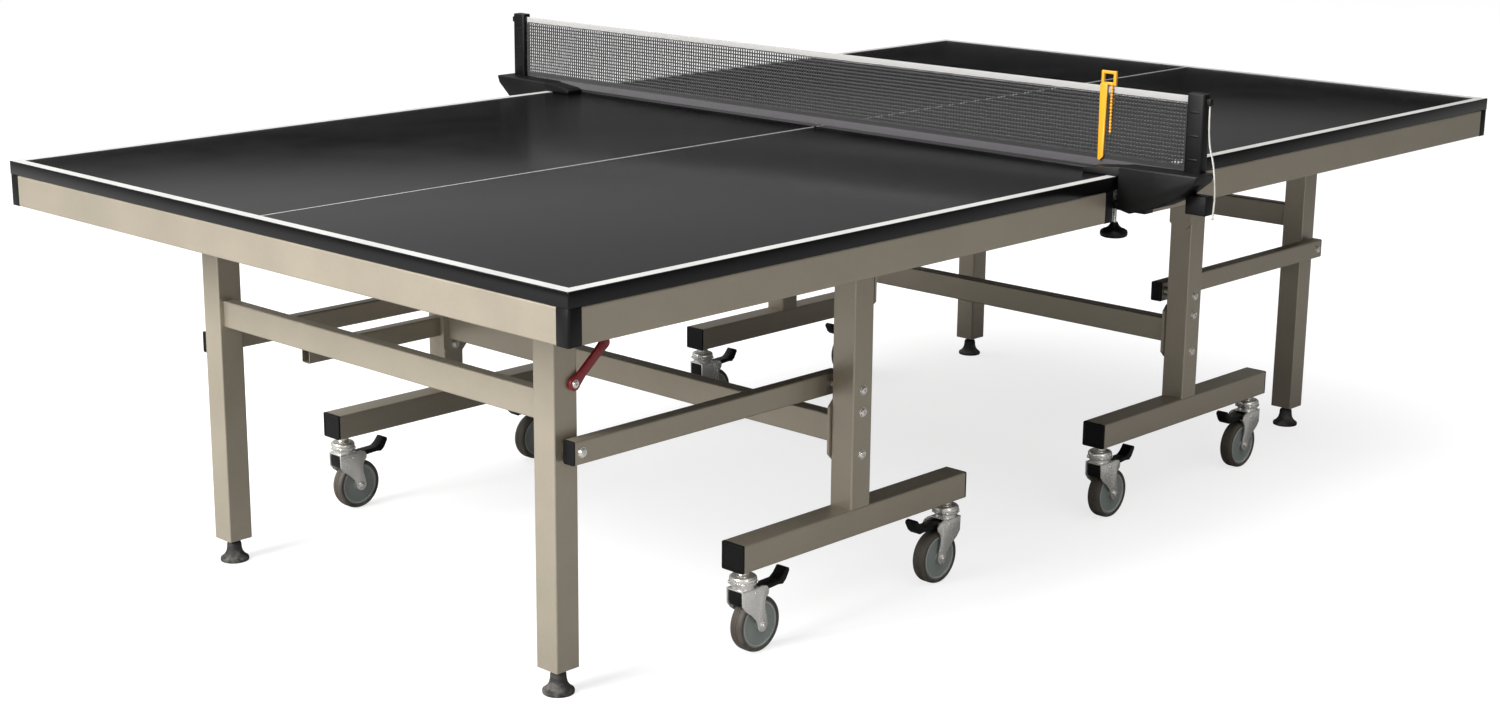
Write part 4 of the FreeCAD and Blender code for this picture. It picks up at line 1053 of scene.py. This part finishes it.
class TABLE_OT_net_supports(bpy.types.Operator):
    """Make the net posts with their clamp brackets"""
    bl_idname = "table.net_supports"
    bl_label = "Net supports"

    def execute(self, context):
        top, low, jaw_top = SURFACE + 18 * MM, SUPPORT_LOW.z, SURFACE - 46 * MM
        y0, y1 = HALF_WIDTH + 2.5 * MM, SUPPORT_HIGH.y
        back, front, pad_front = SUPPORT_LOW.x, 11 * MM, NET_SIDE_X - 2 * MM
        post_y0, post_y1 = NET_SPAN, NET_SPAN + 36 * MM
        web = [(y0, top)] + in_mm([(0, 2), (-6, -14)], y1, top) + in_mm([(-46, -29), (-80, -46)], y1, SURFACE)
        web += in_mm([(27, 0), (0, 6)], y0, low)
        pad = in_mm([(-75, 0), (4, 0), (4, 18), (-63, 11), (-75, 7)], y0, SURFACE)
        jaw = block((back, y0 - 28 * MM, jaw_top - 12 * MM), (pad_front, y0 + 4 * MM, jaw_top), 1.5 * MM, 3)
        post = slab(11 * MM, post_y0, post_y1, top - 3 * MM, SUPPORT_HIGH.z)
        soften(post, 5 * MM, 5, upright_edges(post, 50 * MM))
        soften(post, 2 * MM, 3, sharp_edges(post))
        parts = [plate(web, back, front, "YZ", 2.4 * MM, 3), plate(pad, back, pad_front, "YZ", 1.2 * MM, 3),
                 jaw, post]
        for rib in (42 * MM, 84 * MM, 126 * MM):
            z = SURFACE + rib
            parts.append(slab(12 * MM, post_y0 + 8 * MM, post_y1 - 8 * MM, z - 2 * MM, z + 2 * MM, 1 * MM))
        foot = slab(12 * MM, y1 - 44 * MM, y1 - 2 * MM, SURFACE - 55 * MM, SURFACE - 20 * MM, 2 * MM, 3)
        cord_eye = slab(5 * MM, post_y1 - 2 * MM, post_y1 + 9 * MM, NET_HIGH.z - 14 * MM, NET_HIGH.z - 2 * MM,
                        1.5 * MM, 3)
        parts += [foot, cord_eye]
        make_piece("net_support_mouldings", joined(on_both_sides(parts)), "black_plastic", "net_supports")
        return {"FINISHED"}


class TABLE_OT_clamp_screws(bpy.types.Operator):
    """Make the clamp screws with their mushroom knobs"""
    bl_idname = "table.clamp_screws"
    bl_label = "Clamp screws"

    def execute(self, context):
        middle = (SCREW_LOW + SCREW_HIGH) / 2
        bottom, top = SCREW_LOW.z, SCREW_HIGH.z
        radius = (SCREW_HIGH.x - SCREW_LOW.x) / 2
        knob_top = bottom + 27 * MM
        knob = [(radius * share, bottom + height * MM) for share, height in (
            (0.0, 1), (0.5, 0.6), (0.8, 0), (0.94, 1.6), (1, 4.5), (1, 9), (0.95, 12), (0.8, 14.4),
            (0.58, 16.4), (0.42, 19.5), (0.3, 24), (0.26, 27), (0.0, 27))]
        pad_low = top - 4 * MM
        screw = thread(knob_top - 1 * MM, pad_low, 1.8 * MM, 3.3 * MM, 4 * MM)
        screw += in_mm([(3.3, 0), (8.4, 0), (9, 0.8)], 0.0, pad_low)
        screw += in_mm([(9, -0.6), (8.4, 0), (0, 0)], 0.0, top)
        places = [(hand, Matrix.Translation((middle.x, side * middle.y, 0))) for hand, side in SIDES.items()]
        make_each(places, "clamp_knob", turned(knob, 40), "black_plastic", "clamp_screw")
        make_each(places, "clamp_thread", turned(screw, 20), "bright_steel", "clamp_screw")
        return {"FINISHED"}


class TABLE_OT_gauge(bpy.types.Operator):
    """Make the amber height gauge that hangs on the net"""
    bl_idname = "table.gauge"
    bl_label = "Net gauge"

    def execute(self, context):
        y_in, y_out = GAUGE_HIGH.y, GAUGE_LOW.y
        x_near, x_far = NET_HIGH.x + 0.6 * MM, 5.6 * MM
        low, net_top = GAUGE_LOW.z, NET_HIGH.z
        hook = net_top + 4 * MM
        bar, half_bar = 6 * MM, 3 * MM
        low_edge, high_edge = net_top + 1 * MM, GAUGE_HIGH.z
        parts = [slab(half_bar, y, y + bar, low_edge, high_edge, 1.6 * MM, 3) for y in (y_out, y_in - bar)]
        # The cross bars stand a little inside the upright ones, so no two faces share a plane.
        inset = 0.3 * MM
        for z0, z1 in ((low_edge + inset, low_edge + bar), (high_edge - bar, high_edge - inset)):
            parts.append(slab(half_bar - inset, y_out + half_bar, y_in - half_bar, z0, z1, 1.4 * MM, 3))
        strip_out = y_in - 16 * MM
        strip = [(y_in, hook), (strip_out, hook), (strip_out + 3 * MM, low + 8 * MM)]
        strip += in_mm([(-6, 0), (-1, 2)], y_in, low)
        back = block((x_near, y_out + 4 * MM, net_top - 40 * MM), (x_far, y_in - 4 * MM, hook), 1.4 * MM, 3)
        parts += [plate(strip, -x_far, -x_near, "YZ", 1.2 * MM, 3), back]
        strand_x, strand_y = -4.9 * MM, y_out + 6 * MM
        drop, beads = 84 * MM, 14
        base = net_top - drop
        parts.append(shifted(cylinder(1.4 * MM, base, hook, 12), strand_x, strand_y, 0))
        for index in range(beads):
            bead = bmesh.new()
            bmesh.ops.create_icosphere(bead, subdivisions=2, radius=2.9 * MM)
            bmesh.ops.scale(bead, vec=(1, 1, 0.85), verts=bead.verts)
            parts.append(shifted(bead, strand_x, strand_y, base + (index + 0.5) * drop / beads))
        make_piece("height_gauge", joined(parts), "orange_plastic", "net_gauge")
        return {"FINISHED"}


# ---- stage --------------------------------------------------------------------------------
class TABLE_OT_stage(bpy.types.Operator):
    """Lay the pale floor and set the soft studio lights"""
    bl_idname = "table.stage"
    bl_label = "Stage"

    def execute(self, context):
        context.scene.view_settings.view_transform = "Standard"
        ground = bmesh.new()
        bmesh.ops.create_grid(ground, x_segments=1, y_segments=1, size=60.0)
        mesh = mesh_of("studio_floor", ground)
        mesh.materials.append(self.floor_finish(context.scene.table_colours.floor))
        add_object("studio_floor", mesh)
        for name, place, target, size, power in (
                ("key light", (-6.5, 0.5, 3.8), (-1.0, 0.0, 0.4), 3.0, 950.0),
                ("top light", (-0.5, 0.5, 6.0), (0.0, 0.0, 0.0), 7.0, 420.0),
                ("front fill", (-2.2, -5.0, 1.2), (-0.8, -0.9, 0.1), 2.0, 34.0)):
            lamp = bpy.data.lights.new(name, "AREA")
            lamp.size, lamp.energy = size, power
            light = add_object(name, lamp)
            light.location = place
            light.rotation_euler = (Vector(target) - Vector(place)).to_track_quat("-Z", "Y").to_euler()
        self.set_backdrop(context.scene)
        return {"FINISHED"}

    def floor_finish(self, colour):
        """A plain pale floor that throws little light back up at the object."""
        finish, tree, shader, place = new_finish("pale studio floor")
        grains = effect(tree, "Fine grain", place, Scale=60.0)
        white = (1.0, 1.0, 1.0, 1.0)
        set_inputs(shader, {"Roughness": 0.9, "Specular IOR Level": 0.0, "Emission Color": white})
        tree.links.new(blended(tree, grains["Tone"], *shades(colour, 0.01)), shader.inputs["Base Color"])
        path, camera_glow = tree.nodes.new("ShaderNodeLightPath"), 0.74
        glow = sums(tree, "MULTIPLY", path.outputs["Is Camera Ray"], camera_glow)
        tree.links.new(glow, shader.inputs["Emission Strength"])
        return finish

    def set_backdrop(self, scene):
        """White for the camera; for the object, light from above that is strongest from the near left."""
        world = bpy.data.worlds.new("studio")
        scene.world = world
        world.use_nodes = True
        tree = world.node_tree
        tree.nodes.clear()
        place, split, ramp, toward, soft, pale, path, mix, out = (
            tree.nodes.new("ShaderNode" + kind) for kind in (
                "TexCoord", "SeparateXYZ", "ValToRGB", "VectorMath", "Background", "Background", "LightPath",
                "MixShader", "OutputWorld"))
        stops = ramp.color_ramp.elements
        stops[0].position, stops[0].color = 0.0, (0.0, 0.0, 0.0, 1)
        stops[1].position, stops[1].color = 1.0, (1.0, 1.0, 1.0, 1)
        for position, grey in ((0.10, 0.0), (0.15, 0.20), (0.20, 0.55), (0.28, 0.9)):
            stops.new(position).color = (grey, grey, grey, 1)
        strongest_from = (-0.85, 0.25, 0.46)
        toward.operation = "DOT_PRODUCT"
        toward.inputs[1].default_value = strongest_from
        pale.inputs["Color"].default_value = (1.0, 1.0, 1.0, 1)
        side = mapped(tree, toward.outputs["Value"], -0.5, 1.0, 0.25, 1.2)
        for source, socket in (
                (place.outputs["Generated"], split.inputs["Vector"]),
                (split.outputs["Z"], ramp.inputs["Fac"]),
                (place.outputs["Generated"], toward.inputs[0]),
                (ramp.outputs["Color"], soft.inputs["Color"]),
                (side, soft.inputs["Strength"]), (path.outputs["Is Camera Ray"], mix.inputs["Fac"]),
                (soft.outputs["Background"], mix.inputs[1]), (pale.outputs["Background"], mix.inputs[2]),
                (mix.outputs["Shader"], out.inputs["Surface"])):
            tree.links.new(source, socket)


OPERATORS = (
    TABLE_OT_camera, TABLE_OT_net_cord, TABLE_OT_boards, TABLE_OT_frame_metal, TABLE_OT_corner_guards,
    TABLE_OT_end_caps, TABLE_OT_trolley_bolts, TABLE_OT_link_fittings, TABLE_OT_feet, TABLE_OT_lock_levers,
    TABLE_OT_forks, TABLE_OT_wheels, TABLE_OT_pedals, TABLE_OT_net_supports, TABLE_OT_net,
    TABLE_OT_clamp_screws, TABLE_OT_gauge, TABLE_OT_stage,
)


class TABLE_PT_panel(bpy.types.Panel):
    """Lists the table's pieces, colours and sizes"""
    bl_idname = "TABLE_PT_panel"
    bl_label = "Ping pong table"
    bl_space_type = "VIEW_3D"
    bl_region_type = "UI"
    bl_category = "Table"

    def draw(self, context):
        for operator in OPERATORS:
            self.layout.operator(operator.bl_idname)
        for group in (context.scene.table_colours, context.scene.table_sizes):
            box = self.layout.box()
            for name in group.bl_rna.properties.keys():
                if name not in ("rna_type", "name"):
                    box.prop(group, name)


CLASSES = (TableColours, TableSizes, *OPERATORS, TABLE_PT_panel)


def register():
    for cls in CLASSES:
        bpy.utils.register_class(cls)
    bpy.types.Scene.table_colours = PointerProperty(type=TableColours)
    bpy.types.Scene.table_sizes = PointerProperty(type=TableSizes)


def unregister():
    del bpy.types.Scene.table_sizes
    del bpy.types.Scene.table_colours
    for cls in reversed(CLASSES):
        bpy.utils.unregister_class(cls)


def main():
    register()
    for operator in OPERATORS:
        group, name = operator.bl_idname.split(".")
        getattr(getattr(bpy.ops, group), name)()


if __name__ == "__main__":
    main()
